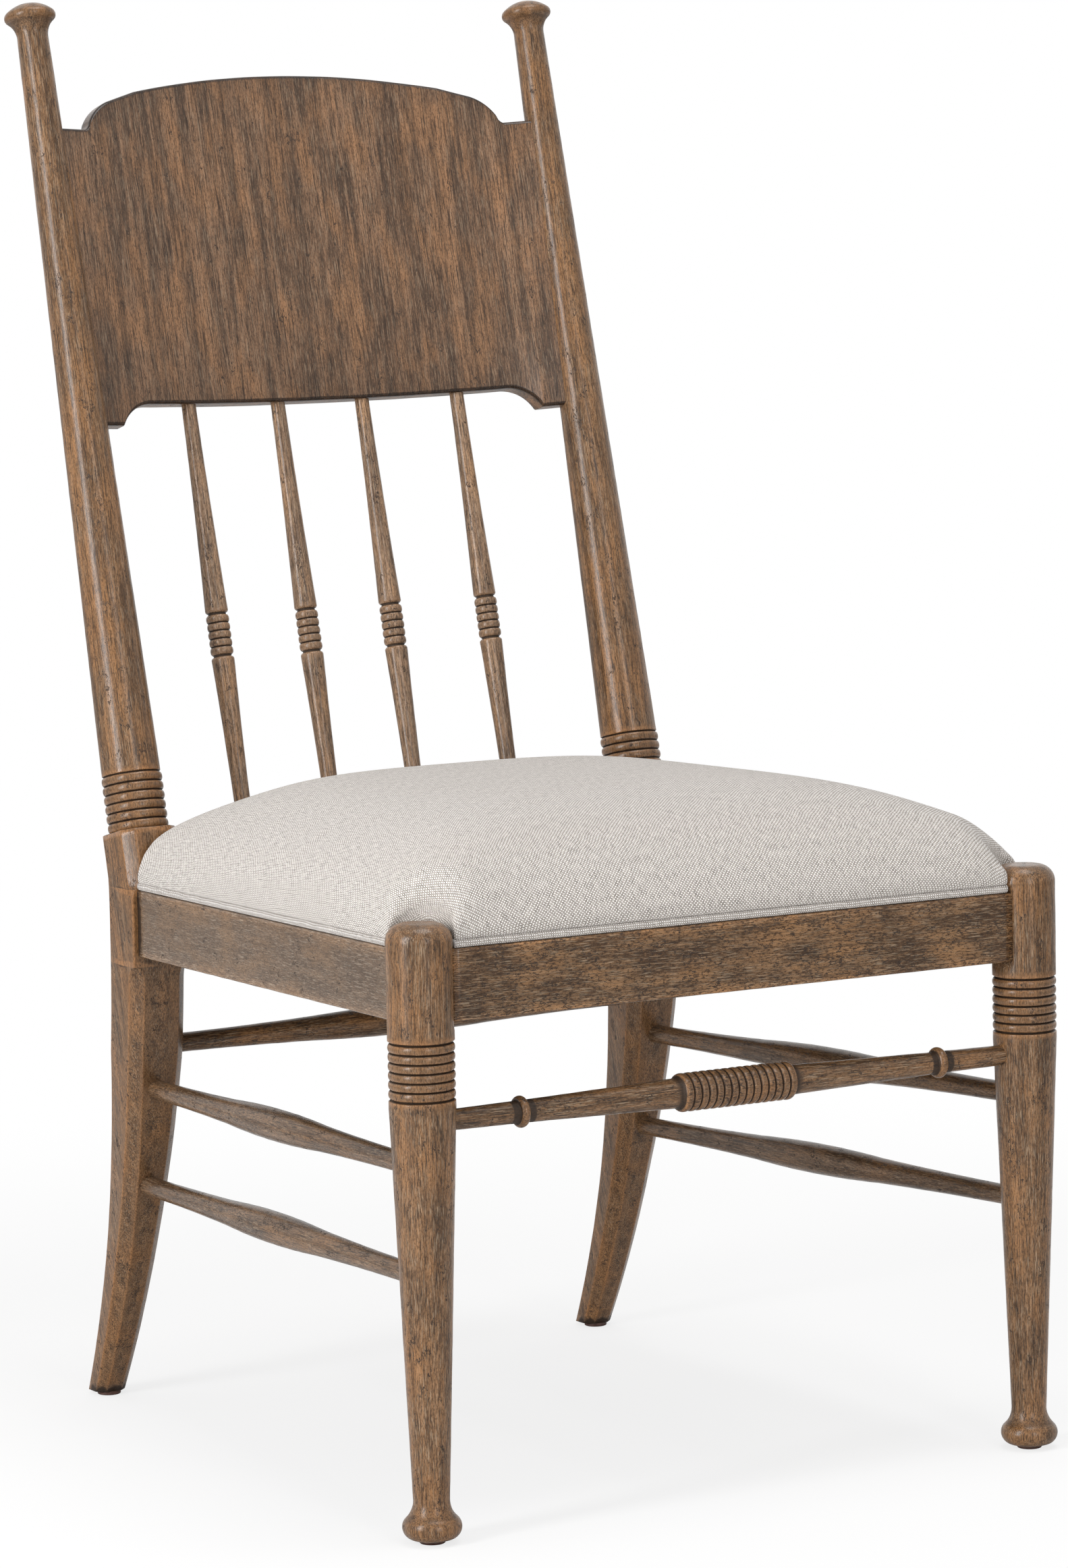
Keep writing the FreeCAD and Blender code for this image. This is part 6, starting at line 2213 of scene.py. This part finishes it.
@dataclass
class Studio:
    """The floor, the lamps and the camera, which stands where the photograph was taken from."""

    SENSOR = 36.0

    focal_pixels: float = 8415.0
    picture_height: float = 2324.0
    centre_y: float = 1158.2
    azimuth: float = math.radians(30.298)
    pitch: float = math.radians(6.194)
    roll: float = math.radians(-1.196)
    eye: tuple[float, float, float] = (-2.0992, -3.6415, 0.9348)
    floor_size: float = 30.0
    floor_white: float = 0.76
    white_from: float = 0.55
    white_to: float = 1.5
    plain_light: float = 0.46
    lamps: tuple[Lamp, ...] = (
        Lamp("window", (-3.1, -0.75, 1.4), (0.6, 2.4), 80),
        Lamp("overhead", (0.2, -0.6, 3.4), (1.8, 1.8), 50),
        Lamp("front_fill", (-0.3, -3.6, 1.3), (0.6, 2.2), 26))

    def camera(self) -> None:
        """Set the camera."""
        az, tilt = self.azimuth, self.pitch
        ahead = Vector((math.sin(az) * math.cos(tilt), math.cos(az) * math.cos(tilt), -math.sin(tilt)))
        right = Vector((math.cos(az), -math.sin(az), 0))
        up = right.cross(ahead)
        turned_right = right * math.cos(self.roll) + up * math.sin(self.roll)
        turned_up = up * math.cos(self.roll) - right * math.sin(self.roll)
        matrix = Matrix((turned_right, turned_up, -ahead)).transposed().to_4x4()
        matrix.translation = Vector(self.eye)
        data = bpy.data.cameras.new("camera")
        data.sensor_width = self.SENSOR
        data.lens = self.focal_pixels * self.SENSOR / self.picture_height
        data.shift_y = (self.centre_y - self.picture_height / 2) / self.picture_height
        data.clip_end = 200.0
        camera = linked("camera", data)
        camera.matrix_world = matrix
        bpy.context.scene.camera = camera

    def floor(self) -> None:
        """Lay a pale floor that keeps the chair's shadow and goes to white further out."""
        g = Graph(bpy.data.materials.new("floor_paper"))
        spot = g.own_place()
        far = g.add("ShaderNodeVectorMath", {"operation": "LENGTH"})
        g.feed(far.inputs[0], spot)
        tooth = g.pattern(spot, (2, 2), detail=3)
        colour = g.mix(g.step(tooth, 0.3, 0.7), (0.86, 0.86, 0.86), (0.88, 0.88, 0.88))
        paper = g.add("ShaderNodeBsdfDiffuse", Color=colour).outputs[0]
        white = g.add("ShaderNodeEmission", Strength=1.0).outputs[0]
        seen = g.add("ShaderNodeLightPath").outputs["Is Camera Ray"]
        fade = g.step(far.outputs["Value"], self.white_from, self.white_to, self.floor_white, 1.0)
        mixed = g.feed_all(g.add("ShaderNodeMixShader"), {0: g.times(seen, fade), 1: paper, 2: white})
        work = bmesh.new()
        bmesh.ops.create_grid(work, x_segments=8, y_segments=8, size=self.floor_size)
        mesh = bpy.data.meshes.new("floor")
        work.to_mesh(mesh)
        work.free()
        mesh.materials.append(g.finish(mixed.outputs[0]))
        linked("floor", mesh)

    def world(self) -> None:
        """Light the world: white where the camera or a reflection sees it, and plainer elsewhere."""
        g = Graph(bpy.data.worlds.new("studio"))
        path = g.add("ShaderNodeLightPath").outputs
        seen = path["Is Camera Ray"]
        for name in ("Is Glossy Ray", "Is Transmission Ray"):
            seen = g.math("MAXIMUM", seen, path[name])
        strength = g.add("ShaderNodeMapRange", Value=seen, To_Min=self.plain_light, To_Max=1.0).outputs[0]
        light = g.add("ShaderNodeBackground", Strength=strength, Color=(1, 1, 1)).outputs[0]
        g.add("ShaderNodeOutputWorld", Surface=light)
        bpy.context.scene.world = g.holder

    def build(self) -> None:
        """Make the whole studio."""
        self.camera()
        self.floor()
        self.world()
        for lamp in self.lamps:
            lamp.build()


def main() -> None:
    """Build the studio and the chair in order."""
    noise.seed_set(WEAR_SEED)
    bpy.context.scene.view_settings.view_transform = "Standard"
    Studio().build()
    finishes = Finishes()
    for part in (FrontLegs(), RearPosts(), SeatRails(), BackPanel(), Spindles(), Stretchers(), Glides(),
                 Cushion(), Welts(), Screws(), Underside()):
        LOG.info("building %s", type(part).__name__)
        part.build(finishes)


if __name__ == "__main__":
    logging.basicConfig(level=logging.INFO, format="%(name)s: %(message)s")
    main()
